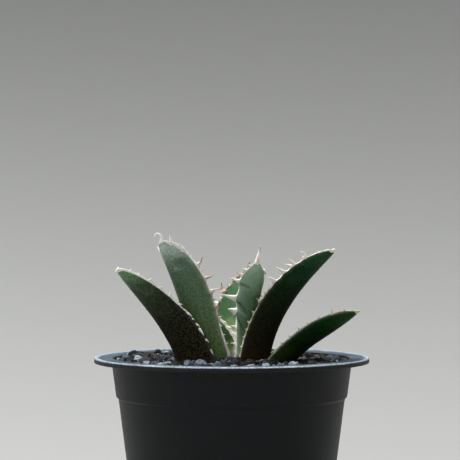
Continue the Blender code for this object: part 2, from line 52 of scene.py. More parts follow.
# --- pot, mm ---------------------------------------------------------------------------------
POT_HEIGHT = 98.0
LIP_RADIUS = 60.0
MOUTH_RADIUS = 51.5
WALL = 1.2
COLLAR_DEPTH = 17.0
COLLAR_STEP = 0.9    # how far the wall steps out at the collar
COLLAR_RUN = 1.0     # height of that step
LIP_THICK = 1.6
SKIRT_DEPTH = 2.2
LIP_ROUND = 0.5
LIP_TOP = ((0.5, 0.0), (1.6, 0.0), (2.3, 0.45), (3.3, 0.45), (3.7, 0.15))  # (in, down): bead, groove
MOUTH_TOP = ((0.6, 0.15), (0.0, 0.7))                                      # (out, down): rounded edge
FOOT_RADIUS = 40.0
FOOT_HEIGHT = 3.0
FOOT_INSET = 0.9
FOOT_RING = 2.6
FLOOR_THICK = 1.5
EDGE_ROUND = 0.28
DRAIN_RADIUS = 6.0
SIDE_DRAINS = 6
SIDE_DRAIN_RADIUS = 3.6
SIDE_DRAIN_CIRCLE = 25.0
POT_STEPS = 192

# --- filling, mm -----------------------------------------------------------------------------
DRAINAGE_TOP = 21.0
MIX_TOP = 97.0
MIX_EDGE_DROP = 0.5
MIX_TILT = 0.9
MIX_SWELLS = 0.55    # height of the unevenness 6 mm across
MIX_CRUMBS = 0.33    # height of the unevenness 2 mm across
BED_GAP = 0.3        # between the bed and what it lies against
BED_EDGE_GAP = 0.5
BED_DROP = 0.5       # how far the fines lie below the middle of the lumps
BED_STEPS = 120
BED_RINGS = 26
BED_CRUMBS = 0.35
MOUNDS = [           # (x, y, half width, half depth, height) where grit is heaped up
    (-30.0, 6.0, 17.0, 16.0, 1.3),
    (9.0, -22.0, 8.0, 6.0, 1.2),
    (-6.0, -18.0, 7.0, 6.0, 0.8),
]
COARSE = 1.9         # lumps from this size up have more corners
LUMP_SIZES = [       # (how many, smallest, largest, how close they may lie)
    (130, COARSE, 3.0, 0.8),
    (480, 1.1, 1.8, 0.78),
    (1900, 0.55, 1.0, 0.74),
]
LUMP_TONES = (0.04, 0.1, 0.18, 0.24, 0.3, 0.36, 0.44, 0.5, 0.58, 0.66, 0.8, 0.95)
LUMP_KEEP_OFF = 0.75  # share of its size that a lump keeps from leaves and stones
LEAF_CORE = 5.0      # nothing inside a leaf lies deeper than this under its skin
LUMP_SEED = 41
LUMP_TRIES = 4       # draws of a place for each lump that is wanted
STONE_EDGE = 0.5     # a stone's edges are split while they are longer, at most three times
STONE_SWELLS = 0.16  # height of its broad unevenness
STONE_GRIT = 0.1     # height of its fine unevenness
STONE_SUNK = 0.04

# --- leaves, mm ------------------------------------------------------------------------------
AROUND = 64          # points round a leaf's section
STATIONS = 132       # sections along a leaf
MIDRIB_STEPS = 160
MARGIN_CROWD = 0.85  # how closely the points of a section crowd towards its two margins
TIP_CROWD = 1.25     # how closely the sections crowd towards the tip
BACK_FULLNESS = 2.0 / 2.2
MARGIN_SWELL = 0.24  # rise of the margin under a tooth, as a share of its reach
SHOULDER = 0.8       # how far in from the margin that rise begins
RIDGE = (0.14, 0.38)  # height and width of the horny bead along a margin
THIN_BORDER = 0.15   # a border narrower than this fades out
NO_HORN = -2.0       # value of the horn layer far from any horn
FULL_HORN = 1.5      # value of the horn layer on teeth and spines
HORN_FLAT = 0.6      # thickness of a tooth's or spine's root, as a share of its width
TOOTH_SUNK = 0.55    # depth of a tooth's root in the flesh
TOOTH_STEPS = 7
TOOTH_BREADTH = 0.24  # half width of a tooth's root, as a share of its reach
TOOTH_ROOT = 0.36    # added to that half width
TOOTH_POINT = 0.03   # half width just before the point
PRINT_WIDTH = 0.55   # half width of a bud print
PRINT_DENT = 0.12    # depth of a dark print
PRINT_SWELL = 0.05   # height of a pale one
LAYERS = ("along", "horn", "age", "mark", "flush")

# --- colours of leaf flesh -------------------------------------------------------------------
WAX = "#879787"
FLUSH = "#a8b8a9"
PRINTS = ((1.0, "#9fad99"), (-1.0, "#243828"))  # (full strength, colour) of a pale and a dark print

# --- stage: sizes in mm, places in m ----------------------------------------------------------
STAGE_FLAT = 320.0   # radius of the level floor
STAGE_BEND = 2200.0  # radius of the curve up into the wall
STAGE_TOP = 3200.0
STAGE_MIDDLE = 1500.0
STAGE_ARC_STEPS = 24
STAGE_STEPS = 96
LIGHT_AIM = (0.0, 0.0, 0.1)
AIR_STRENGTH = 0.53
CAMERA_PLACE = (-0.000743, -0.7588, 0.1534)
CAMERA_LENS = 90.52
CAMERA_SENSOR = 24.0


# --- small tools -----------------------------------------------------------------------------
def linear(code):
    """A colour given as an sRGB hex code, in linear light."""
    parts = [int(code[i:i + 2], 16) / 255.0 for i in (1, 3, 5)]
    return tuple(p / 12.92 if p <= 0.04045 else ((p + 0.055) / 1.055) ** 2.4 for p in parts) + (1.0,)


def to_m(x, y, z):
    return Vector((x * MM, y * MM, z * MM))


def add_node(tree, kind, inputs=(), out=0, stops=None, **settings):
    """Adds one shader node and returns the output called for. Its inputs are named or numbered, or a
    list in the order of its sockets, which for a map range is value, from low, from high, to low, to
    high. Each is a value or another node's output. stops fill a colour ramp."""
    made = tree.nodes.new("ShaderNode" + kind)
    for name, value in settings.items():
        setattr(made, name, value)
    for key, value in inputs.items() if isinstance(inputs, dict) else enumerate(inputs):
        if isinstance(value, bpy.types.NodeSocket):
            tree.links.new(value, made.inputs[key])
        else:
            made.inputs[key].default_value = value
    if stops:
        ramp = made.color_ramp
        while len(ramp.elements) < len(stops):
            ramp.elements.new(0.5)
        for element, (place, colour) in zip(ramp.elements, stops):
            element.position = place
            element.color = linear(colour)
    return made.outputs[out]


def new_material(name, **sockets):
    """A material with its shader's plain sockets set; returns it, its tree and its shader."""
    material = bpy.data.materials.new(name)
    material.use_nodes = True
    tree = material.node_tree
    shader = tree.nodes["Principled BSDF"]
    for key, value in sockets.items():
        shader.inputs[key.replace("_", " ")].default_value = value
    return material, tree, shader


def finish_shader(tree, shader, colour, rough, relief, strength, depth):
    """Links what the shader shows: its colour, its roughness, and a relief of a depth given in mm."""
    bump = add_node(tree, "Bump", {"Height": relief, "Strength": strength, "Distance": depth * MM})
    for key, output in (("Base Color", colour), ("Roughness", rough), ("Normal", bump)):
        tree.links.new(output, shader.inputs[key])


def new_object(bm, name, material=None):
    """Puts a bmesh into the scene as an object."""
    mesh = bpy.data.meshes.new(name)
    bm.to_mesh(mesh)
    bm.free()
    if material:
        mesh.materials.append(material)
    made = bpy.data.objects.new(name, mesh)
    bpy.context.scene.collection.objects.link(made)
    return made


def make_piece(bm, name, material, replaced=(), smooth_angle=180.0):
    """Turns a bmesh into a finished piece of the object."""
    piece = new_object(bm, name, material)
    piece.data.shade_smooth()
    if smooth_angle < 180.0:
        piece.data.set_sharp_from_angle(angle=math.radians(smooth_angle))
    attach(piece, "root")
    if replaced:
        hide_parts(*replaced)
    return piece


# --- materials -------------------------------------------------------------------------------
def leaf_skin(tree, shift, streaks, grain, skin, bloom, mottle):
    """Flesh from foot to tip under its bloom of wax, shaded by the grain of the papillae."""
    last = len(skin) - 1
    base = add_node(tree, "ValToRGB", {"Fac": shift},
                    stops=[(i / last, colour) for i, colour in enumerate(skin)])
    wax = add_node(tree, "MapRange", [streaks, 0.25, 0.8, bloom * 0.45, bloom])
    waxed = add_node(tree, "Mix", {0: wax, 6: base, 7: linear(WAX)}, data_type="RGBA", out=2)
    depth = 0.3 * mottle
    shade = add_node(tree, "MapRange", [grain, 0.35, 0.65, 1.0 - depth, 1.0 + depth])
    return add_node(tree, "Mix", {0: 1.0, 6: waxed, 7: shade}, data_type="RGBA",
                    blend_type="MULTIPLY", out=2)


def leaf_freckles(tree, under, place, shift, speckle, fleck):
    """Dark freckles, real ones about 0.2 mm, drawn at 0.7 mm so that they show."""
    spots = add_node(tree, "TexVoronoi", {"Vector": place, "Scale": 1350.0})
    dots = add_node(tree, "MapRange", [spots, 0.25, 0.55, 1.0, 0.0])
    share = add_node(tree, "MapRange", [shift, 0.05, 0.85, speckle, speckle * 0.4])
    dots = add_node(tree, "Math", [dots, share], operation="MULTIPLY")
    return add_node(tree, "Mix", {0: dots, 6: under, 7: linear(fleck)}, data_type="RGBA", out=2)


def leaf_prints(tree, under, mark):
    """Prints that the teeth of the next leaf pressed in while both were in the bud."""
    for full, colour in PRINTS:
        share = add_node(tree, "MapRange", [mark, 0.0, full, 0.0, 0.8])
        under = add_node(tree, "Mix", {0: share, 6: under, 7: linear(colour)}, data_type="RGBA", out=2)
    return under


def leaf_horn(tree, place, edge, age, horn):
    """Share and colour of the horn: pale where it is young, browner in weathered spots 2 mm across and
    towards old points. Its inner edge is ragged."""
    wear = add_node(tree, "TexNoise", {"Vector": place, "Scale": 420.0, "Detail": 3.0})
    wear = add_node(tree, "MapRange", [wear, 0.3, 0.7, -0.28, 0.3])
    ageing = add_node(tree, "Math", [age, wear], operation="ADD", use_clamp=True)
    colour = add_node(tree, "ValToRGB", {"Fac": ageing}, stops=list(zip((0.12, 0.5, 0.9), horn)))
    ragged = add_node(tree, "TexNoise", {"Vector": place, "Scale": 700.0, "Detail": 2.0})
    border = add_node(tree, "Math", [ragged, 0.5, edge], operation="MULTIPLY_ADD")
    share = add_node(tree, "MapRange", [border, 0.22, 0.4], interpolation_type="SMOOTHSTEP")
    return share, colour


def leaf_material(name, skin, speckle, bloom, horn, halo, fleck="#685444", mottle=1.0, sheen=0.3):
    """Living agave leaf: a satin waxy cuticle over green flesh, with a dry horny border and teeth.

    skin: colours from foot to tip, in the leaves that turn from the light darkened as painted shade, and in
    the full grown one paled to near white at the tip as a painted highlight; speckle: share of freckling
    near the foot; fleck: its colour; bloom: share of pale wax; horn: colours of the horn from its palest to
    its most weathered; halo: how strongly the flesh pales next to the horn; mottle: strength of the fine
    grain; sheen: how much the cuticle shines.
    """
    material, tree, shader = new_material(name, IOR=1.42, Specular_IOR_Level=sheen)
    place = add_node(tree, "TexCoord", out="Object")
    run = add_node(tree, "TexCoord", out="UV")
    layer = {key: add_node(tree, "Attribute", attribute_name=key, out="Fac") for key in LAYERS}
    # broad patches 7 mm across push the colours up and down the leaf
    patches = add_node(tree, "TexNoise", {"Vector": place, "Scale": 140.0, "Detail": 3.0})
    shift = add_node(tree, "Math", [patches, 0.5], operation="SUBTRACT")
    shift = add_node(tree, "Math", [shift, 0.3, layer["along"]], operation="MULTIPLY_ADD")
    # the wax is rubbed off in faint streaks that run along the leaf about 2 mm apart
    streaks = add_node(tree, "Mapping", {"Vector": run, "Scale": (50.0, 9.0, 1.0)})
    streaks = add_node(tree, "TexNoise", {"Vector": streaks, "Scale": 1.0, "Detail": 3.0})
    # papillae, real grain about 0.2 mm, drawn at 1 mm so that it shows
    grain = add_node(tree, "TexNoise", {"Vector": place, "Scale": 1100.0, "Detail": 2.0})

    colour = leaf_skin(tree, shift, streaks, grain, skin, bloom, mottle)
    colour = leaf_freckles(tree, colour, place, shift, speckle, fleck)
    beside = add_node(tree, "Math", [layer["flush"], halo], operation="MULTIPLY")
    colour = add_node(tree, "Mix", {0: beside, 6: colour, 7: linear(FLUSH)}, data_type="RGBA", out=2)
    colour = leaf_prints(tree, colour, layer["mark"])
    share, horny = leaf_horn(tree, place, layer["horn"], layer["age"], horn)
    colour = add_node(tree, "Mix", {0: share, 6: colour, 7: horny}, data_type="RGBA", out=2)
    gloss = add_node(tree, "MapRange", [streaks, 0.3, 0.7, 0.45, 0.58])
    gloss = add_node(tree, "Mix", {0: share, 2: gloss, 3: 0.55}, data_type="FLOAT")
    relief = add_node(tree, "Math", [streaks, 0.4, grain], operation="MULTIPLY_ADD")
    finish_shader(tree, shader, colour, gloss, relief, 0.3, 0.08)
    return material


def pot_material():
    """Injection-moulded polypropylene, black, with the faint orange peel of the tool and the dried-on
    blue-grey dust and hard-water scale that settle on what faces up. On the bead of the lip the film is
    paled further: a painted highlight."""
    material, tree, shader = new_material("moulded_polypropylene_dusty", IOR=1.49, Specular_IOR_Level=0.2)
    place = add_node(tree, "TexCoord", out="Object")
    normal = add_node(tree, "NewGeometry", out="Normal")
    facing = add_node(tree, "SeparateXYZ", [normal], out="Z")
    film = add_node(tree, "TexNoise", {"Vector": place, "Scale": 90.0, "Detail": 6.0, "Roughness": 0.65})
    fine = add_node(tree, "TexNoise", {"Vector": place, "Scale": 1200.0, "Detail": 3.0})
    top = add_node(tree, "MapRange", [facing, 0.2, 0.8, 0.03, 1.0])
    uneven = add_node(tree, "MapRange", [film, 0.3, 0.7, 0.6, 1.1])
    specks = add_node(tree, "MapRange", [fine, 0.35, 0.7, 0.5, 1.35])
    dust = add_node(tree, "Math", [top, uneven], operation="MULTIPLY")
    dust = add_node(tree, "Math", [dust, specks], operation="MULTIPLY", use_clamp=True)
    # the film is thinner inwards of the raised bead at the edge of the lip; on the bead itself it is
    # paled further, a painted highlight of the light that the bead's rounding reflects
    level = add_node(tree, "VectorMath", [place, (1.0, 1.0, 0.0)], operation="MULTIPLY")
    radius = add_node(tree, "VectorMath", [level], operation="LENGTH", out="Value")
    bead = add_node(tree, "MapRange", [radius, (LIP_RADIUS - 2.4) * MM, (LIP_RADIUS - 1.4) * MM])
    dust_and_bead_highlight = add_node(tree, "Mix", {0: bead, 6: linear("#525f6a"), 7: linear("#a9bac7")},
                    data_type="RGBA", out=2)
    colour = add_node(tree, "Mix", {0: dust, 6: linear("#0a0b0d"), 7: dust_and_bead_highlight}, data_type="RGBA", out=2)
    rough = add_node(tree, "MapRange", {"Value": dust, "To Min": 0.5, "To Max": 0.85})
    peel = add_node(tree, "TexNoise", {"Vector": place, "Scale": 700.0, "Detail": 2.0})
    finish_shader(tree, shader, colour, rough, peel, 0.3, 0.15)
    return material


def mineral_material(name, stops, pore=900.0, tone=None, rough=0.92):
    """Crushed porous mineral, bark or dry root: matt, pitted with pores 0.7 to 2 mm wide.
    stops: colours from dark to pale; tone: an attribute that says how pale each lump is."""
    material, tree, shader = new_material(name, IOR=1.45, Specular_IOR_Level=0.3)
    place = add_node(tree, "TexCoord", out="Object")
    blotch = add_node(tree, "TexNoise", {"Vector": place, "Scale": 500.0, "Detail": 5.0, "Roughness": 0.7})
    level = blotch
    if tone:
        lump = add_node(tree, "Attribute", attribute_name=tone, out="Fac")
        spread = add_node(tree, "Math", [blotch, 0.5], operation="SUBTRACT")
        level = add_node(tree, "Math", [spread, 0.3, lump], operation="MULTIPLY_ADD")
    colour = add_node(tree, "ValToRGB", {"Fac": level}, stops=stops)
    pores = add_node(tree, "TexVoronoi", {"Vector": place, "Scale": pore})
    pit = add_node(tree, "MapRange", [pores, 0.1, 0.45, 0.55, 1.05])
    colour = add_node(tree, "Mix", {0: 1.0, 6: colour, 7: pit}, data_type="RGBA",
                      blend_type="MULTIPLY", out=2)
    matt = add_node(tree, "MapRange", {"Value": blotch, "To Min": rough - 0.12, "To Max": rough})
    relief = add_node(tree, "Math", [pores, 0.6, blotch], operation="MULTIPLY_ADD")
    finish_shader(tree, shader, colour, matt, relief, 0.7, 0.4)
    return material


# --- one leaf --------------------------------------------------------------------------------
def along_stops(stops, s):
    """Straight-line reading of a list of (place, value, value) stops."""
    for low, high in zip(stops, stops[1:]):
        if s <= high[0]:
            share = (s - low[0]) / (high[0] - low[0])
            return [a + (b - a) * share for a, b in zip(low[1:], high[1:])]
    return list(stops[-1][1:])


@dataclass
class Leaf:
    """Growth measurements of one leaf, and the curves that follow from them.

    foot: where the midrib starts; bearing: direction of growth, 0 towards -Y, 90 towards +X; rise:
    angle above the horizon at foot and tip; swing: how far the bearing turns along the leaf, and
    rise_power where along it the rise changes; foot_width, widest, taper, blunt: shape of the
    outline; turn: twist about the midrib; channel: how hollow the inner face is. right and left: the
    teeth of each margin, each (place along the leaf, reach in mm, lean towards the tip and hook back
    towards the foot in degrees, lift out of the inner face, and the breadth of its root where that
    is unusual). spine: steps of the end spine in mm, to the right, back and up. horn_tip: length of
    the leaf's end that is horn. border: (place along the leaf, width in mm, age 0 to 1) of the horny
    margin, and back_border its share on the outer face, right and left. tooth_age: (place along the
    leaf, age at a tooth's root, age at its point), the last one for the end spine. horn_root: how
    far the horn spreads round a tooth, as a share of its reach. flush: how far in from each margin
    the flesh is paler, right and left, in mm. marks: prints on the outer face, each (place along the
    leaf, mm across, reach in mm, lean in degrees, strength, below 0 for a dark one).
    """
    name: str
    foot: tuple
    bearing: float
    rise: tuple
    length: float
    width: float
    thick: float
    material: bpy.types.Material
    slot: str = "leaf"
    swing: float = 0.0
    rise_power: float = 1.0
    foot_width: float = 0.9
    widest: float = 0.35
    taper: float = 1.7
    blunt: float = 0.7
    turn: float = 0.0
    channel: float = 0.25
    right: tuple = ()
    left: tuple = ()
    spine: tuple = ()
    spine_radius: float = 0.7
    spine_sunk: float = 1.4
    horn_tip: float = 1.5
    border: tuple = ((0.0, 0.5, 0.2), (1.0, 0.5, 0.2))
    back_border: tuple = (1.0, 1.0)
    tooth_age: tuple = ((0.0, 0.1, 0.9), (1.0, 0.1, 0.9))
    horn_root: float = 0.14
    flush: tuple = (0.9, 0.9)
    marks: tuple = ()

    def __post_init__(self):
        self.foot = Vector(self.foot)
        self.teeth = dict(zip(SIDES, (self.right, self.left)))
        self.back_border = dict(zip(SIDES, self.back_border))
        self.flush = dict(zip(SIDES, self.flush))
        self.points = self.midrib()

    def directions(self, s):
        """Along the midrib, across to the right-hand margin, and out of the inner face."""
        rise = math.radians(self.rise[0] + (self.rise[1] - self.rise[0]) * s ** self.rise_power)
        bearing = math.radians(self.bearing + self.swing * s)
        turn = math.radians(self.turn * s)
        level = Vector((math.sin(bearing), -math.cos(bearing), 0.0))
        along = level * math.cos(rise) + UP * math.sin(rise)
        across = Vector((math.cos(bearing), math.sin(bearing), 0.0))
        face = UP * math.cos(rise) - level * math.sin(rise)
        turned = across * math.cos(turn) + face * math.sin(turn)
        return along, turned, face * math.cos(turn) - across * math.sin(turn)

    def midrib(self):
        """Points along the midrib, foot to tip."""
        points = [self.foot.copy()]
        for i in range(MIDRIB_STEPS):
            way = self.directions((i + 0.5) / MIDRIB_STEPS)[0]
            points.append(points[-1] + way * (self.length / MIDRIB_STEPS))
        return points

    def point(self, s):
        place = min(max(s, 0.0), 1.0) * MIDRIB_STEPS
        low = min(int(place), MIDRIB_STEPS - 1)
        return self.points[low].lerp(self.points[low + 1], place - low)

    def half_width(self, s):
        ease = min(max(s / self.widest, 0.0), 1.0)
        ease = ease * ease * (3.0 - 2.0 * ease)
        half = 0.5 * self.width * (self.foot_width + (1.0 - self.foot_width) * ease)
        if s > self.widest:
            out = ((s - self.widest) / (1.0 - self.widest)) ** self.taper
            half *= max(1.0 - out, 0.0) ** self.blunt
        return max(half, 0.25)

    def swell(self, s, side):
        """How far the margin rises under the nearest tooth, 0 to 1, and that tooth's reach in mm.
        Teeth that fold in over the inner face leave the margin straight."""
        best, reach = 0.0, 0.0
        for tooth in (t for t in self.teeth[side] if t[4] < 1.0):
            away = (s - tooth[0]) * self.length / (0.3 * tooth[1] + 0.5)
            rise = math.exp(-away * away)
            if rise * tooth[1] > best * reach:
                best, reach = rise, tooth[1]
        return best, reach

    def depth(self, s):
        """Thickness of the fleshy back below the midrib."""
        return max(self.thick * (1.0 - 0.65 * s) * (1.0 - s ** 6), 0.3)

    def dish(self, s):
        """How far the margins stand above the midrib of the inner face."""
        return self.channel * self.half_width(s) * (1.0 - 0.5 * s)


class Station:
    """What one section of a leaf needs, worked out once."""

    def __init__(self, leaf, s):
        self.s = s
        self.place = leaf.point(s)
        self.along, self.across, self.face = leaf.directions(s)
        self.half = leaf.half_width(s)
        self.dish = leaf.dish(s)
        self.depth = leaf.depth(s)
        self.rise = {}
        self.horn_width = {}
        width, self.age = along_stops(leaf.border, s)
        fade = min((1.0 - s) * 8.0, 1.0)
        for side in SIDES:
            swell, reach = leaf.swell(s, side)
            self.rise[side] = swell * reach * MARGIN_SWELL * fade
            self.horn_width[side] = width + swell * reach * leaf.horn_root

    def section(self, angle):
        """Across, out of the face, the distance from the margin in mm, and which side it is on."""
        across = math.cos(angle)
        side = 1.0 if across >= 0.0 else -1.0
        if math.sin(angle) >= 0.0:
            x, y = self.half * across, self.dish * across * across
        else:
            drop = abs(math.sin(angle)) ** BACK_FULLNESS
            x = self.half * math.copysign(abs(across) ** BACK_FULLNESS, across)
            y = self.dish - (self.dish + self.depth) * drop
        away = math.hypot(self.half - abs(x), y - self.dish)
        # the margin is drawn out to the teeth and ends in a rounded ridge of horn
        near = math.exp(-(away / (SHOULDER + self.rise[side])) ** 2)
        bead = RIDGE[0] * math.exp(-(away / RIDGE[1]) ** 2)
        x += side * (self.rise[side] * near + bead)
        y += math.copysign(bead, math.sin(angle)) * 0.6
        return x, y, away, side


def print_strength(leaf, s, x):
    """How strongly a bud print marks a spot of the outer face, above 0 pale, below 0 dark."""
    best = 0.0
    for place, across, reach, lean, tone in leaf.marks:
        up = (s - place) * leaf.length
        over = x - across
        turn = math.radians(lean)
        run = up * math.sin(turn) + over * math.cos(turn)
        off = up * math.cos(turn) - over * math.sin(turn)
        share = min(max(run / reach, 0.0), 1.0)
        gap = math.hypot(run - share * reach, off - 0.25 * reach * share * (1.0 - share))
        strength = math.exp(-(gap / PRINT_WIDTH) ** 2) * (1.0 - 0.4 * share)
        if strength > abs(best):
            best = strength * tone
    return best


def leaf_blade(bm, leaf, layers):
    """A sphere pulled out along the midrib: one pole at the foot, the other at the tip."""
    made = bmesh.ops.create_uvsphere(bm, u_segments=AROUND, v_segments=STATIONS, radius=1.0)
    spread = [1.0 - (1.0 - max(i - 1, 0) / (STATIONS - 1)) ** TIP_CROWD for i in range(STATIONS + 1)]
    stations = [Station(leaf, s) for s in spread]
    where = {}
    for vert in made["verts"]:
        ring = round((1.0 - math.acos(max(-1.0, min(1.0, vert.co.z))) / math.pi) * STATIONS)
        at = stations[ring]
        angle = math.atan2(vert.co.y, vert.co.x)
        angle -= MARGIN_CROWD * 0.5 * math.sin(2.0 * angle)
        horn = NO_HORN
        x = 0.0
        if ring == 0:
            spot = at.place - at.face * (0.4 * at.depth)
        elif ring == STATIONS:
            spot = at.place.copy()
        else:
            x, y, away, side = at.section(angle)
            on_back = math.sin(angle) < 0.0
            mark = print_strength(leaf, at.s, x) if on_back else 0.0
            dent = -mark * (PRINT_DENT if mark < 0.0 else PRINT_SWELL)
            spot = at.place + at.across * x + at.face * (y + dent)
            width = at.horn_width[side] * (leaf.back_border[side] if on_back else 1.0)
            thin = max(1.0 - width / THIN_BORDER, 0.0)
            horn = 1.0 - away / max(width, 0.02) - 1.5 * thin
            vert[layers["mark"]] = mark
            vert[layers["flush"]] = math.exp(-(away / leaf.flush[side]) ** 2)
        horn = max(horn, 1.0 - (1.0 - at.s) * leaf.length / leaf.horn_tip)
        vert.co = spot * MM
        vert[layers["along"]] = at.s
        vert[layers["horn"]] = max(horn, NO_HORN)
        vert[layers["age"]] = at.age
        where[vert] = (x * 0.01, at.s * leaf.length * 0.01)
    for face in bm.faces:
        for loop in face.loops:
            loop[layers["uv"]].uv = where[loop.vert]


def horn_point(bm, root, ways, radii, width_way, ages, layers, sides=8):
    """A tapering horn grown ring by ring along ways, a list of step vectors in mm. It is wider along
    width_way than through it, and closes in a point."""
    first = ways[0].normalized()
    wide = (width_way - first * width_way.dot(first)).normalized()
    thin = first.cross(wide)
    made = bmesh.ops.create_circle(bm, cap_ends=True, segments=sides, radius=1.0)
    face = made["verts"][0].link_faces[0]
    ring = [(v.co.x, v.co.y) for v in face.verts]
    here = root.copy()
    steps = len(ways)
    start = list(face.verts)
    for vert, (a, b) in zip(start, ring):
        vert.co = (here + (wide * a + thin * b * HORN_FLAT) * radii[0]) * MM
        vert[layers["horn"]] = FULL_HORN
        vert[layers["age"]] = ages[0]
        vert[layers["along"]] = 1.0
    for i, way in enumerate(ways):
        face = bmesh.ops.extrude_discrete_faces(bm, faces=[face])["faces"][0]
        here = here + way
        turned = first.rotation_difference(way.normalized())
        flat = HORN_FLAT + (1.0 - HORN_FLAT) * (i + 1) / steps
        for vert, (a, b) in zip(face.verts, ring):
            out = turned @ (wide * a + thin * b * flat)
            vert.co = (here + out * radii[i + 1]) * MM
            vert[layers["age"]] = ages[0] + (ages[1] - ages[0]) * (i + 1) / steps
    bmesh.ops.contextual_create(bm, geom=start)
    bmesh.ops.pointmerge(bm, verts=list(face.verts), merge_co=here * MM)


def leaf_tooth(bm, leaf, side, tooth, layers):
    """One marginal tooth, wide along the margin at its root and hooked at its point."""
    place, reach, lean, hook, lift = tooth[:5]
    breadth = tooth[5] if len(tooth) > 5 else TOOTH_BREADTH
    at = Station(leaf, place)
    out = at.half + at.rise[side] - TOOTH_SUNK
    root = at.place + at.across * (side * out) + at.face * at.dish
    ways = []
    for i in range(TOOTH_STEPS):
        turn = math.radians(lean - hook * ((i + 0.5) / TOOTH_STEPS) ** 1.3)
        way = at.across * (side * math.cos(turn)) + at.along * math.sin(turn) + at.face * lift
        ways.append(way.normalized() * ((reach + TOOTH_SUNK) / TOOTH_STEPS))
    wide = breadth * reach + TOOTH_ROOT
    radii = [wide * (1.0 - (i / TOOTH_STEPS) ** 0.7) + TOOTH_POINT for i in range(TOOTH_STEPS + 1)]
    horn_point(bm, root, ways, radii, at.along, along_stops(leaf.tooth_age, place), layers)


def end_spine(bm, leaf, layers):
    """The spine that ends the leaf, grown along its listed steps."""
    at = Station(leaf, 1.0)
    ways = [Vector(step) for step in leaf.spine]
    steps = len(ways)
    sunk = ways[0].normalized() * leaf.spine_sunk
    ways.insert(0, sunk)
    radii = [leaf.spine_radius * 1.2]
    radii += [leaf.spine_radius * (1.0 - 0.94 * (i / steps) ** 1.1) for i in range(steps + 1)]
    ages = leaf.tooth_age[-1][1:]
    horn_point(bm, at.place - sunk, ways, radii, at.across, ages, layers, sides=10)


def build_leaf(leaf):
    bm = bmesh.new()
    layers = {name: bm.verts.layers.float.new(name) for name in LAYERS}
    layers["uv"] = bm.loops.layers.uv.new("leaf_run")
    leaf_blade(bm, leaf, layers)
    for side in SIDES:
        for tooth in leaf.teeth[side]:
            leaf_tooth(bm, leaf, side, tooth, layers)
    end_spine(bm, leaf, layers)
    bmesh.ops.recalc_face_normals(bm, faces=bm.faces)
    return make_piece(bm, leaf.name + "_grown", leaf.material, [leaf.name])


# --- pot and filling -------------------------------------------------------------------------
def lathe(bm, profile, steps, closed=True):
    """Turns an outline of (radius, height) pairs in mm about the Z axis."""
    ring = [bm.verts.new(to_m(r, 0.0, z)) for r, z in profile]
    edges = [bm.edges.new(pair) for pair in zip(ring, ring[1:])]
    if closed:
        edges.append(bm.edges.new((ring[-1], ring[0])))
    bmesh.ops.spin(bm, geom=ring + edges, cent=(0, 0, 0), axis=(0, 0, 1), angle=math.tau,
                   steps=steps, use_merge=True, use_duplicate=False)
    bmesh.ops.remove_doubles(bm, verts=bm.verts, dist=1e-6)
    bmesh.ops.recalc_face_normals(bm, faces=bm.faces)


def wall_radius(z):
    """Inner radius of the pot wall at height z, below and above the collar step."""
    share = (z - FOOT_HEIGHT) / (POT_HEIGHT - FOOT_HEIGHT)
    radius = (FOOT_RADIUS - WALL) + (MOUTH_RADIUS - FOOT_RADIUS + WALL) * share
    return radius if z >= POT_HEIGHT - COLLAR_DEPTH else radius - COLLAR_STEP


def cut(piece, tool):
    """Applies one exact cut and removes the tool."""
    step = piece.modifiers.new("cut", "BOOLEAN")
    step.operation = "DIFFERENCE"
    step.solver = "EXACT"
    step.object = tool
    graph = bpy.context.evaluated_depsgraph_get()
    result = bpy.data.meshes.new_from_object(piece.evaluated_get(graph))
    piece.modifiers.clear()
    piece.data = result
    bpy.data.objects.remove(tool)


def drain_cutter():
    """Upright plugs where the floor has its ring of drain holes."""
    bm = bmesh.new()
    for i in range(SIDE_DRAINS):
        turn = math.tau * i / SIDE_DRAINS
        made = bmesh.ops.create_cone(bm, cap_ends=True, segments=32, radius1=SIDE_DRAIN_RADIUS * MM,
                                     radius2=SIDE_DRAIN_RADIUS * MM, depth=4.0 * FLOOR_THICK * MM)
        spot = to_m(SIDE_DRAIN_CIRCLE * math.cos(turn), SIDE_DRAIN_CIRCLE * math.sin(turn),
                    FOOT_HEIGHT + 0.5 * FLOOR_THICK)
        bmesh.ops.translate(bm, verts=made["verts"], vec=spot)
    return new_object(bm, "drain_cutter")


def build_pot(material):
    """Thin-walled pot with a flat outward lip: a raised bead outside, a fine groove inside it."""
    top = POT_HEIGHT
    step = POT_HEIGHT - COLLAR_DEPTH
    below = step - COLLAR_RUN
    floor = FOOT_HEIGHT + FLOOR_THICK
    outside = [(FOOT_RADIUS - FOOT_RING, 0.0), (FOOT_RADIUS - FOOT_INSET, 0.0)]
    outside += [(wall_radius(z) + WALL, z) for z in (below, step, top - LIP_THICK)]
    lip = [
        (LIP_RADIUS - WALL, top - LIP_THICK),
        (LIP_RADIUS - WALL, top - SKIRT_DEPTH),
        (LIP_RADIUS, top - SKIRT_DEPTH),
        (LIP_RADIUS, top - LIP_ROUND),
    ]
    lip += [(LIP_RADIUS - inwards, top - down) for inwards, down in LIP_TOP]
    lip += [(MOUTH_RADIUS + outwards, top - down) for outwards, down in MOUTH_TOP]
    inside = [(wall_radius(z), z) for z in (step, below, floor)]
    inside += [(DRAIN_RADIUS, floor), (DRAIN_RADIUS, FOOT_HEIGHT), (FOOT_RADIUS - FOOT_RING, FOOT_HEIGHT)]
    bm = bmesh.new()
    lathe(bm, outside + lip + inside, POT_STEPS)
    corners = [e for e in bm.edges if e.calc_face_angle(0.0) > math.radians(18.0)]
    bmesh.ops.bevel(bm, geom=corners, offset=EDGE_ROUND * MM, offset_type="OFFSET", segments=3,
                    profile=0.5, affect="EDGES", material=-1, clamp_overlap=True)
    pot = make_piece(bm, "pot_moulded", material, ["pot"], 40.0)
    cut(pot, drain_cutter())


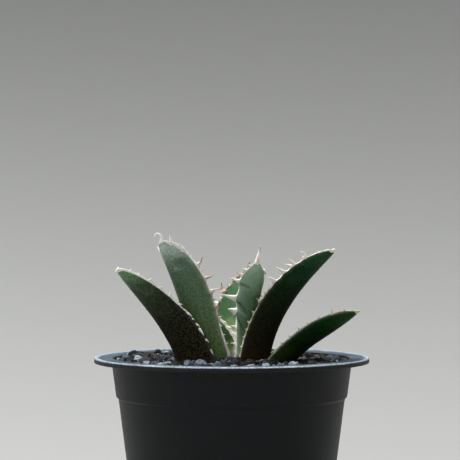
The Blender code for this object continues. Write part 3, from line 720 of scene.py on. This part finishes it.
def mix_level(x, y):
    """Height of the bed of the mix at a place in the pot."""
    radius = math.hypot(x, y) / MOUTH_RADIUS
    rough = noise.noise(Vector((x * 0.16, y * 0.16, 3.0))) * MIX_SWELLS
    rough += noise.noise(Vector((x * 0.45, y * 0.45, 9.0))) * MIX_CRUMBS
    tilted = MIX_TOP - MIX_EDGE_DROP * radius ** 2 - MIX_TILT * 0.5 * (x / MOUTH_RADIUS + 1.0) + rough
    return tilted + sum(high * math.exp(-((x - a) / wide) ** 2 - ((y - b) / deep) ** 2)
                        for a, b, wide, deep, high in MOUNDS)


def build_bed(material):
    """The fine part of the potting mix, from the drainage layer to just under the lumps."""
    step = POT_HEIGHT - COLLAR_DEPTH
    below = step - COLLAR_RUN
    edge = wall_radius(MIX_TOP) - BED_EDGE_GAP
    profile = [
        (0.0, DRAINAGE_TOP),
        (wall_radius(DRAINAGE_TOP) - BED_GAP, DRAINAGE_TOP),
        (wall_radius(below) - BED_GAP, below),
        (wall_radius(step) - BED_EDGE_GAP, step + 0.4),
        (edge - BED_GAP, MIX_TOP - 3.0),
    ]
    profile += [(edge * (1.0 - i / BED_RINGS), MIX_TOP) for i in range(BED_RINGS + 1)]
    bm = bmesh.new()
    lathe(bm, profile, BED_STEPS)
    for vert in bm.verts:
        x, y, z = vert.co / MM
        if z > MIX_TOP - 0.5:
            crumbs = noise.noise(Vector((x * 1.3, y * 1.3, 5.0))) * BED_CRUMBS
            vert.co.z = (mix_level(x, y) - BED_DROP + crumbs) * MM
    return make_piece(bm, "potting_mix_bed", material, ["potting_mix"])


class Ground:
    """Keeps the lumps clear of the leaves, the stones, the wall and each other."""

    def __init__(self, solids):
        self.trees = []
        for obj in solids:
            bm = bmesh.new()
            bm.from_mesh(obj.data)
            self.trees.append(BVHTree.FromBMesh(bm))
            bm.free()
        self.taken = []

    @staticmethod
    def inside(tree, spot):
        """Whether a closed skin holds the spot: a ray from there crosses it an odd number of times."""
        crossings = 0
        hit = tree.ray_cast(spot, UP)[0]
        while hit is not None:
            crossings += 1
            hit = tree.ray_cast(hit + UP * 1e-6, UP)[0]
        return crossings % 2 == 1

    def free(self, x, y, z, size, crowd):
        if math.hypot(x, y) > MOUTH_RADIUS - 1.0 - size * 0.6:
            return False
        if any((x - a) ** 2 + (y - b) ** 2 < ((size + c) * crowd) ** 2 for a, b, c in self.taken):
            return False
        spot = to_m(x, y, z)
        for tree in self.trees:
            near, _, _, away = tree.find_nearest(spot, LEAF_CORE * MM)
            if near is not None and (away < size * LUMP_KEEP_OFF * MM or self.inside(tree, spot)):
                return False
        return True


def add_lump(bm, rng, x, y, z, size, tone, tone_layer):
    """One angular lump: a coarse ball whose corners are pulled in and out, pressed flat and turned."""
    coarse = size >= COARSE
    made = bmesh.ops.create_icosphere(bm, subdivisions=2 if coarse else 1, radius=1.0)
    spin = Quaternion((rng.gauss(0, 1), rng.gauss(0, 1), rng.gauss(0, 1), rng.gauss(0, 1))).normalized()
    stretch = Vector((rng.uniform(0.75, 1.2), rng.uniform(0.7, 1.05), 0.75 * rng.uniform(0.7, 1.15)))
    lean = Quaternion((1.0, rng.uniform(-0.35, 0.35), rng.uniform(-0.35, 0.35), 0.0)).normalized()
    turn = Quaternion((0.0, 0.0, 1.0), rng.uniform(0.0, math.tau))
    seed = Vector((rng.uniform(0.0, 90.0), 0.0, 0.0))
    for vert in made["verts"]:
        corner = spin @ vert.co
        if coarse:
            corner *= 0.95 + 0.5 * noise.noise(corner * 1.2 + seed) + 0.16 * noise.noise(corner * 3.1 + seed)
        else:
            corner *= rng.uniform(0.72, 1.15)
        corner = lean @ (turn @ (corner * stretch))
        vert.co = to_m(x, y, z) + corner * (size * MM)
        vert[tone_layer] = tone


def build_lumps(material, ground):
    """Over a thousand lumps of lava, bark, charcoal and pumice, the largest laid first."""
    rng = random.Random(LUMP_SEED)
    bm = bmesh.new()
    tone_layer = bm.verts.layers.float.new("tone")
    for count, low, high, crowd in LUMP_SIZES:
        for _ in range(count * LUMP_TRIES):
            if count <= 0:
                break
            reach = MOUTH_RADIUS * math.sqrt(rng.random())
            turn = rng.uniform(0.0, math.tau)
            x, y = reach * math.cos(turn), reach * math.sin(turn)
            size = rng.uniform(low, high)
            z = mix_level(x, y) + size * rng.uniform(-0.1, 0.3)
            tone = rng.choice(LUMP_TONES)
            if not ground.free(x, y, z, size, crowd):
                continue
            ground.taken.append((x, y, size))
            add_lump(bm, rng, x, y, z, size, tone, tone_layer)
            count -= 1
    return make_piece(bm, "potting_mix_lumps", material, (), 24.0)


def build_stone(number, material):
    """A larger stone: the solid's own shape, its faces broken into a rough, pitted skin."""
    name = f"stone_{number:02d}"
    bm = bmesh.new()
    bm.from_mesh(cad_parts[name].data)
    bmesh.ops.remove_doubles(bm, verts=bm.verts, dist=1e-6)
    bmesh.ops.dissolve_limit(bm, angle_limit=math.radians(2.0), verts=bm.verts, edges=bm.edges)
    bmesh.ops.triangulate(bm, faces=bm.faces)
    for _ in range(3):
        long = [e for e in bm.edges if e.calc_length() > STONE_EDGE * MM]
        if not long:
            break
        bmesh.ops.subdivide_edges(bm, edges=long, cuts=1, use_grid_fill=True)
        bmesh.ops.triangulate(bm, faces=bm.faces)
    bmesh.ops.smooth_vert(bm, verts=bm.verts, factor=0.5, use_axis_x=True, use_axis_y=True, use_axis_z=True)
    bm.normal_update()
    shifts = []
    for vert in bm.verts:
        spot = vert.co / MM
        rough = noise.noise(spot * 0.9) * STONE_SWELLS
        rough += noise.noise(spot * 2.3 + Vector((7.0, 0.0, 0.0))) * STONE_GRIT
        shifts.append(vert.normal * (rough - STONE_SUNK) * MM)
    for vert, shift in zip(bm.verts, shifts):
        vert.co += shift
    return make_piece(bm, name + "_rough", material, [name], 35.0)


# --- the plant's leaves ----------------------------------------------------------------------
def even_teeth(places, reach, lean=0, hook=35, lift=0.15):
    """Teeth of one margin, longest a little above the middle of the leaf."""
    return [(s, reach * (0.55 + 0.45 * math.sin(math.pi * min(s * 1.15, 1))), lean, hook, lift)
            for s in places]


def like_teeth(sizes, lean, hook, lift):
    """Teeth of one margin, each given by its place and reach, that stand alike."""
    return [(place, reach, lean, hook, lift) for place, reach in sizes]


def straight_spine(reach, way, steps=4):
    """Steps of an end spine that doesn't curl."""
    return [Vector(way).normalized() * (reach / steps)] * steps


def front_leaves(old, tall, arching, low_right):
    """The four long leaves that spread to the sides of the heart."""
    return [
        Leaf("leaf_low_left", (-13.8, -10, 94), -58, (75, 31), 59.4, 19.8, 8.6, old,
             swing=-4.4, rise_power=0.6, foot_width=1.05, widest=0.17, taper=1.83, blunt=0.5, turn=20,
             right=[(0.125, 2.2, -50, 50, -0.1), (0.205, 2, 10, 120, 0), (0.295, 3.2, -40, 60, -0.2),
                    (0.335, 2, 0, 120, 0.1), (0.385, 1.2, 0, 80, 0.2), (0.44, 2.6, -30, 75, 0),
                    (0.47, 1.4, -30, 50, 0.1), (0.52, 1.3, 0, 60, 0.4), (0.61, 1.7, 50, 10, 0.9),
                    (0.7, 1, 20, 70, 0.5), (0.79, 1.2, 20, 80, 0.7), (0.87, 0.8, 40, 20, 0.8),
                    (0.93, 0.9, 30, 20, 0.8)],
             left=even_teeth((0.25, 0.38, 0.51, 0.64, 0.77, 0.89), 1.3, lift=3),
             spine=straight_spine(1.3, (0.5, 0.2, 1), 3), spine_radius=0.5, horn_tip=1.6,
             border=((0, 0, 0.1), (0.44, 0, 0.1), (0.54, 0.55, 0), (0.9, 0.8, 0), (1, 1, 0.1)),
             back_border=(1, 0.3), tooth_age=((0, -0.2, 0), (1, -0.2, 0)), horn_root=0.03),
        Leaf("leaf_low_right", (17.9, -5, 94), 70, (52.8, 20.6), 46.4, 17.4, 5.7, low_right,
             swing=-2, rise_power=0.6, foot_width=0.95, widest=0.6, taper=1.25, blunt=0.63, turn=-23.5,
             right=even_teeth((0.2, 0.34, 0.48, 0.62, 0.76, 0.9), 1.1, lift=2),
             left=like_teeth(((0.16, 1), (0.26, 1.1), (0.36, 1), (0.47, 1.4), (0.57, 0.9), (0.68, 0.9)),
                             20, 40, 0.5) + [(0.79, 1.9, 50, 40, 0.6), (0.9, 0.7, 20, 40, 0.5)],
             spine=straight_spine(0.7, (1, -0.3, 0.5), 2), spine_radius=0.6, horn_tip=1.5,
             border=((0, 0.5, 0.35), (0.5, 0.45, 0.25), (0.72, 0.4, 0.4), (0.79, 0.4, 0.3),
                     (0.82, 0.6, 0.7), (0.89, 0.55, 0.65), (0.93, 0.4, 0.3), (1, 0.6, 0.2)),
             back_border=(0, 1), tooth_age=((0, 0.1, 0.4), (1, 0.1, 0.4))),
        Leaf("leaf_arching_right", (9.6, -7, 94.8), 46, (88, 24.8), 69.2, 15, 6.5, arching,
             swing=5, rise_power=0.63, foot_width=1, widest=0.38, taper=1.96, blunt=0.5, turn=-19,
             right=even_teeth((0.2, 0.3, 0.4, 0.5, 0.6, 0.7, 0.8, 0.9), 1.6, lift=3),
             left=[(0.11, 0.9, 30, 30, 0.4), (0.17, 1, 40, 30, 0.4), (0.22, 1, 40, 30, 0.4),
                   (0.27, 1.3, 35, 30, 0.5), (0.34, 1.4, 36, 30, 0.5), (0.42, 2.3, 45, 35, 0.5),
                   (0.49, 1.6, 30, 30, 0.5), (0.53, 1.9, 50, 30, 0.6), (0.589, 4, 30, 60, 0.5),
                   (0.675, 4.1, 8, 20, 0.6), (0.737, 3.2, -12, 25, 0.5), (0.756, 3.6, 22, 20, 0.6),
                   (0.836, 3.9, 66, 110, 0.6), (0.92, 0.9, 30, 40, 0.5)],
             spine=straight_spine(1, (1, -0.5, 0.7), 3), spine_radius=0.75, horn_tip=1.5,
             border=((0, 0.7, 0.35), (0.2, 0.5, 0.45), (0.42, 0.4, 0.6), (0.52, 0.3, 0.5),
                     (0.6, 0.3, 0.05), (0.9, 0.3, 0.2), (1, 0.7, 0.2)),
             back_border=(0.1, 1), horn_root=0.08,
             tooth_age=((0, 0.2, 0.5), (0.5, 0.1, 0.4), (0.6, -0.2, 0.1), (1, -0.2, 0.15))),
        Leaf("leaf_tall_left", (-9.2, -5, 94.4), -38, (73, 26.5), 66.9, 15.8, 5.9, tall,
             swing=6, rise_power=1.8, foot_width=1.3, widest=0.27, taper=2.4, blunt=0.55, turn=26.5,
             right=[(0.08, 0.9, 20, 30, 0.3), (0.14, 1, 20, 30, 0.3), (0.2, 1.1, 20, 30, 0.3),
                    (0.26, 1.2, 25, 30, 0.3), (0.316, 1.6, 30, 30, 0.3), (0.39, 2, 40, 30, 0.3),
                    (0.44, 1.2, 30, 30, 0.3), (0.5, 3.7, 18, 55, 0.4), (0.6, 3.3, -14, -28, 0.4),
                    (0.65, 1.2, 20, 0, 0.4), (0.7, 3.9, 26, -34, 0.6), (0.77, 0.9, 60, 0, 0.3),
                    (0.815, 1.9, 84, 0, 0.1), (0.855, 2.9, 86, -6, 0.15), (0.9, 2, 84, 0, 0.2),
                    (0.946, 3.1, 66, -14, 0.6)],
             left=like_teeth(((0.25, 1.2), (0.36, 1.3), (0.47, 1.4), (0.58, 1.5), (0.69, 1.5), (0.8, 1.4)),
                             0, 35, 3) + [(0.885, 3.1, 48, -34, 1)],
             spine=[(0.1, 0, 0.9), (-0.08, 0, 1), (-0.46, 0, 0.88), (-0.76, 0, 0.58), (-0.85, 0, 0.04),
                    (-0.6, 0, -0.6), (-0.02, 0, -0.95), (0.25, 0, -0.6)],
             spine_radius=0.76, spine_sunk=0.6, horn_tip=0.7,
             border=((0, 2.2, -0.3), (0.1, 1.5, -0.3), (0.2, 0.8, -0.1), (0.3, 0.6, 0.4),
                     (0.6, 0.55, 0.45), (0.68, 0.8, 0.1), (0.74, 0.6, -0.1), (0.8, 0.6, 0.2),
                     (0.86, 0.8, -0.2), (0.94, 0.85, -0.2), (1, 0.5, 0)),
             back_border=(1, 0), horn_root=0.22, flush=(1.8, 1.2),
             tooth_age=((0, 0.1, 0.5), (0.62, 0.2, 0.85), (0.72, 0.1, 0.55), (0.8, -0.1, 0.1),
                        (1, -0.1, 0))),
    ]


def heart_leaves(young, inner):
    """The young leaf in the middle, the two beside it and the bud."""
    return [
        Leaf("leaf_heart", (3.5, -1, 94.4), 18, (77, 53), 52.2, 10.4, 4.5, young, "leaf_heart",
             swing=-1.9, rise_power=0.56, foot_width=0.5, widest=0.8, taper=1.4, blunt=0.78, turn=2,
             right=like_teeth(((0.35, 0.8), (0.5, 0.9), (0.65, 1), (0.77, 0.9)), 0, 30, 2)
             + [(0.895, 3, -35, 50, 0.1)],
             left=[(0.12, 1.4, 20, 30, 0.3), (0.19, 1.8, 10, 40, 0.3), (0.27, 1.4, 30, 30, 0.3),
                   (0.34, 2.3, 22, 30, 0.3), (0.49, 3.6, 20, 0, 0.1, 0.6), (0.62, 6.4, 8, -4, 0.3),
                   (0.79, 4.3, 12, -6, 0.2), (0.85, 2.8, 26, 20, 0.3), (0.9, 2.4, 24, 10, 0.3),
                   (0.945, 1.8, 28, 10, 0.3)],
             spine=straight_spine(7.2, (0.24, 0.1, 1), 6), spine_radius=0.95, horn_tip=0.9,
             border=((0, 3, -0.3), (0.12, 2.1, -0.3), (0.3, 1.5, -0.2), (0.42, 0.8, -0.1),
                     (0.5, 0.12, 0.1), (0.85, 0.12, 0.2), (0.93, 0.3, 0.3), (1, 0.5, 0.3)),
             back_border=(0, 1), horn_root=0.15, flush=(0.8, 3.4),
             tooth_age=((0, -0.1, 0.3), (0.7, -0.1, 0.3), (0.8, 0, 0.7), (1, 0, 0.75)),
             marks=[(0.78, -5, 3.4, -20, -0.9), (0.74, -4.8, 3, -10, 0.7), (0.6, -4.8, 5.2, -52, -1),
                    (0.52, -4.6, 3.4, -26, 1), (0.44, -4.2, 4.8, -62, -0.9), (0.63, 2.2, 2.4, 120, -0.5)]),
        Leaf("leaf_inner_left", (1.6, 2.5, 95.8), -71, (76.3, 52), 24, 13.6, 4, inner, "leaf_heart",
             swing=5, rise_power=0.9, foot_width=0.47, widest=0.41, taper=1.65, blunt=0.8, turn=3.8,
             right=even_teeth((0.2, 0.3, 0.42, 0.54, 0.66, 0.78, 0.9), 1.9),
             left=even_teeth((0.35, 0.6, 0.85), 1.8),
             spine=straight_spine(2.4, (-0.3, 0, 1)), spine_radius=0.7,
             border=((0, 5, -0.3), (0.22, 3, -0.3), (0.4, 1.3, -0.2), (0.6, 1.1, -0.1), (1, 0.7, 0.3)),
             tooth_age=((0, 0.05, 0.5), (1, 0.05, 0.5))),
        Leaf("leaf_back", (0.4, 7, 94.5), 149.4, (79.6, 63), 43.8, 22, 4.5, inner, "leaf_heart",
             foot_width=0.5, widest=0.5, taper=1.6, blunt=0.8,
             right=[(0.25, 1.2, 10, 30, 0.2), (0.38, 1.6, 10, 30, 0.2), (0.48, 1.6, 10, 30, 0.2),
                    (0.6, 3, 20, 20, 0.2), (0.66, 1.2, 20, 20, 0.2), (0.726, 4.6, 52, -38, 0.2),
                    (0.8, 1.4, 20, 20, 0.2), (0.875, 2.6, 20, 50, 0.4), (0.94, 1.6, 40, 30, 0.3)],
             left=even_teeth((0.4, 0.55, 0.7, 0.85), 2.8),
             spine=straight_spine(4.6, (0.13, 0.1, 1)), spine_radius=0.75,
             border=((0, 0.7, 0.2), (0.4, 0.5, 0.5), (0.6, 0.45, 0.75), (1, 0.5, 0.7)),
             tooth_age=((0, 0.1, 0.6), (0.6, 0.1, 0.5), (0.7, 0.45, 1), (1, 0.4, 0.9))),
        Leaf("leaf_bud", (5.4, 3, 95.5), 12, (89, 86), 32, 5.2, 2.6, inner, "leaf_heart",
             foot_width=0.8, widest=0.3, taper=1.5, blunt=0.8, channel=0.5,
             right=even_teeth((0.6, 0.8), 1.4), left=even_teeth((0.7,), 1.4),
             spine=straight_spine(3.5, (0, 0, 1)), spine_radius=0.6),
    ]


def far_leaves(old, tall, low_right, inner):
    """The leaves of the far side, with the same teeth on both margins."""
    all_along = (0.35, 0.5, 0.65, 0.8, 0.92)
    few = (0.5, 0.7, 0.9)
    mature = {"tooth_age": ((0, 0.2, 0.95), (1, 0.2, 0.95))}
    worn = {"tooth_age": ((0, 0.1, 0.5), (1, 0.1, 0.5))}
    young = {"slot": "leaf_heart", "foot_width": 0.6, "spine_radius": 0.6}
    rows = (
        ("leaf_back_right", (9, 8, 94.4), 128, (68, 47), 43, 14, 5.5, tall,
         all_along, 2.2, 3.4, (0.4, 0.4, 1), mature),
        ("leaf_inner_right", (8.2, 2.6, 95.4), 82, (78, 62), 28, 9.5, 3.6, inner,
         few, 1.6, 2.4, (0.4, 0, 1), young),
        ("leaf_back_left", (-4.6, 8.5, 94.4), -142, (72, 54), 41, 12, 5.5, tall,
         all_along, 2.2, 2.9, (-0.3, 0.3, 1), mature),
        ("leaf_rear_low_left", (-12, 3.5, 94.2), -103, (58, 37), 44, 14, 6.5, old,
         all_along, 1.8, 1.9, (-0.7, 0.2, 0.6), worn),
        ("leaf_rear_low_right", (15.4, 7, 94.2), 106, (38, 21), 37, 12.5, 5, low_right,
         all_along, 1.6, 1.9, (0.9, 0.3, 0.4), worn),
    )
    leaves = []
    for *growth, places, reach, spine_reach, spine_way, rest in rows:
        teeth = even_teeth(places, reach)
        spine = straight_spine(spine_reach, spine_way)
        leaves.append(Leaf(*growth, right=teeth, left=teeth, spine=spine, **rest))
    return leaves


# --- stage -----------------------------------------------------------------------------------
def build_stage():
    """A plain pale floor that curves up into a seamless wall all round."""
    profile = [(0, 0), (0.5 * STAGE_FLAT, 0), (STAGE_FLAT, 0)]
    for i in range(1, STAGE_ARC_STEPS + 1):
        turn = math.radians(90.0 * i / STAGE_ARC_STEPS)
        profile.append((STAGE_FLAT + STAGE_BEND * math.sin(turn), STAGE_BEND * (1.0 - math.cos(turn))))
    profile.append((STAGE_FLAT + STAGE_BEND, STAGE_TOP))
    bm = bmesh.new()
    lathe(bm, profile, STAGE_STEPS, closed=False)
    middle = to_m(0, 0, STAGE_MIDDLE)
    outward = [f for f in bm.faces if f.normal.dot(f.calc_center_median() - middle) > 0]
    bmesh.ops.reverse_faces(bm, faces=outward)
    material, _, _ = new_material("painted_studio_floor", Base_Color=linear("#9a9b9a"), Roughness=0.95)
    floor = new_object(bm, "studio_floor", material)
    floor.data.shade_smooth()


def add_softbox(name, place, size, power, tint):
    """A square soft light that faces the middle of the plant. place and size are in metres."""
    light = bpy.data.lights.new(name, "AREA")
    light.shape = "SQUARE"
    light.size = size
    light.energy = power
    light.color = tint
    lamp = bpy.data.objects.new(name, light)
    lamp.location = place
    lamp.rotation_euler = (Vector(LIGHT_AIM) - Vector(place)).to_track_quat("-Z", "Y").to_euler()
    bpy.context.scene.collection.objects.link(lamp)


def build_lights():
    add_softbox("key_softbox", (-0.7, 0.15, 1.25), 0.7, 27, (1, 0.99, 0.97))
    add_softbox("rim_softbox", (0.55, 0.25, 1.15), 0.5, 11, (1, 0.99, 0.97))
    add_softbox("fill_softbox", (-0.5, -1.5, 0.7), 1, 6.3, (0.95, 0.98, 1))
    world = bpy.data.worlds.new("studio_air")
    world.use_nodes = True
    air = world.node_tree.nodes["Background"].inputs
    air["Color"].default_value = linear("#e4e8ea")
    air["Strength"].default_value = AIR_STRENGTH
    bpy.context.scene.world = world


def build_camera():
    camera = bpy.data.cameras.new("camera")
    camera.sensor_width = CAMERA_SENSOR
    camera.lens = CAMERA_LENS
    holder = bpy.data.objects.new("camera", camera)
    holder.location = CAMERA_PLACE
    holder.rotation_euler = (math.radians(90), 0, 0)
    bpy.context.scene.collection.objects.link(holder)
    bpy.context.scene.camera = holder
    bpy.context.scene.view_settings.view_transform = "Standard"


# --- all together ----------------------------------------------------------------------------
def build_plant():
    # painted shade: the skin colours of the oldest leaf are darkened for the shade its outer face stands in
    old = leaf_material(
        "agave_leaf_oldest_painted_shade", ("#221e15", "#1a1b12", "#172015", "#2c3c2b", "#72906f"), 0.5, 0,
        ("#fbf8ee", "#d8cbae", "#7a5a3d"), halo=0.1, fleck="#6d5c42", sheen=0.08)
    # the full grown leaf's last skin colour, near white, is a painted highlight on its tip
    tall = leaf_material(
        "agave_leaf_full_grown", ("#5b7a20", "#678049", "#5b7852", "#567156", "#d6e8da"), 0.5, 0.22,
        ("#faf6ef", "#cfae9e", "#533328"), halo=0.5, fleck="#33402a", mottle=0.8)
    # painted shade: the arching leaf's skin colours are darkened nearly to black for the shade it stands in
    arching = leaf_material(
        "agave_leaf_arching_painted_shade", ("#2e2116", "#141d10", "#0f2a14", "#265030"), 0.35, 0,
        ("#fbf4ea", "#c2b98f", "#6f4f38"), halo=0.2, fleck="#443627", sheen=0.05)
    # painted shade: the low leaf's skin colours are darkened for the shade it stands in
    low_right = leaf_material(
        "agave_leaf_low_painted_shade", ("#383f1a", "#122a0d", "#102d10", "#20441c"), 0.2, 0,
        ("#f0eddc", "#abb289", "#93532b"), halo=0.25, fleck="#35331d", sheen=0.06)
    young = leaf_material(
        "agave_leaf_heart", ("#afb588", "#46733f", "#4f7a4e", "#b0d2b3"), 0.04, 0.3,
        ("#fffdf8", "#d8c4b4", "#6f4437"), halo=0.6, mottle=0.35)
    inner = leaf_material(
        "agave_leaf_inner", ("#d6dab4", "#b4c58c", "#3a6335", "#3c6940", "#5c8461"), 0.05, 0.1,
        ("#fffdf6", "#cfbb9e", "#543328"), halo=0.35, mottle=0.4)
    plant = front_leaves(old, tall, arching, low_right) + heart_leaves(young, inner)
    plant += far_leaves(old, tall, low_right, inner)
    return [build_leaf(leaf) for leaf in plant]


def build_filling(leaves):
    """The bed of fines, the stones, whose four materials take turns, and the lumps round them."""
    build_bed(mineral_material("peat_and_fines", ((0.3, "#0b0908"), (0.7, "#231d18"))))
    kinds = [
        ("stone_grey", mineral_material("crushed_slate", ((0.3, "#272b30"), (0.7, "#5b656e")))),
        ("stone_brown", mineral_material("crushed_bark", ((0.3, "#231a14"), (0.7, "#4c3d30")))),
        ("stone_pale", mineral_material("crushed_pumice", ((0.3, "#474849"), (0.7, "#8f9293")))),
        ("stone_dark", mineral_material("crushed_lava", ((0.3, "#110f0b"), (0.7, "#312a24")))),
    ]
    stones = []
    for number in sorted(int(name[-2:]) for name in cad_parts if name.startswith("stone_")):
        slot, material = kinds[number % len(kinds)]
        stones.append(build_stone(number, material))
    lumps = mineral_material("lava_bark_and_pumice", (
        (0, "#121011"), (0.3, "#221e1c"), (0.42, "#322f2e"), (0.55, "#393f45"), (0.75, "#535d68"),
        (1, "#929ca5")), tone="tone")
    build_lumps(lumps, Ground(leaves + stones))


def dress_frame():
    """The CAD solids that stay: pumice at the bottom of the pot, and the stem with its roots."""
    pumice = mineral_material("coarse_pumice", ((0.3, "#7a7468"), (0.7, "#b2ada1")), pore=500)
    woody = mineral_material("dry_agave_root", ((0.3, "#5a4127"), (0.7, "#987a54")), pore=1400, rough=0.8)
    for name, material in (("drainage_layer", pumice), ("stem_and_roots", woody)):
        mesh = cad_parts[name].data
        mesh.materials.clear()
        mesh.materials.append(material)


build_pot(pot_material())
build_filling(build_plant())
dress_frame()
build_stage()
build_lights()
build_camera()
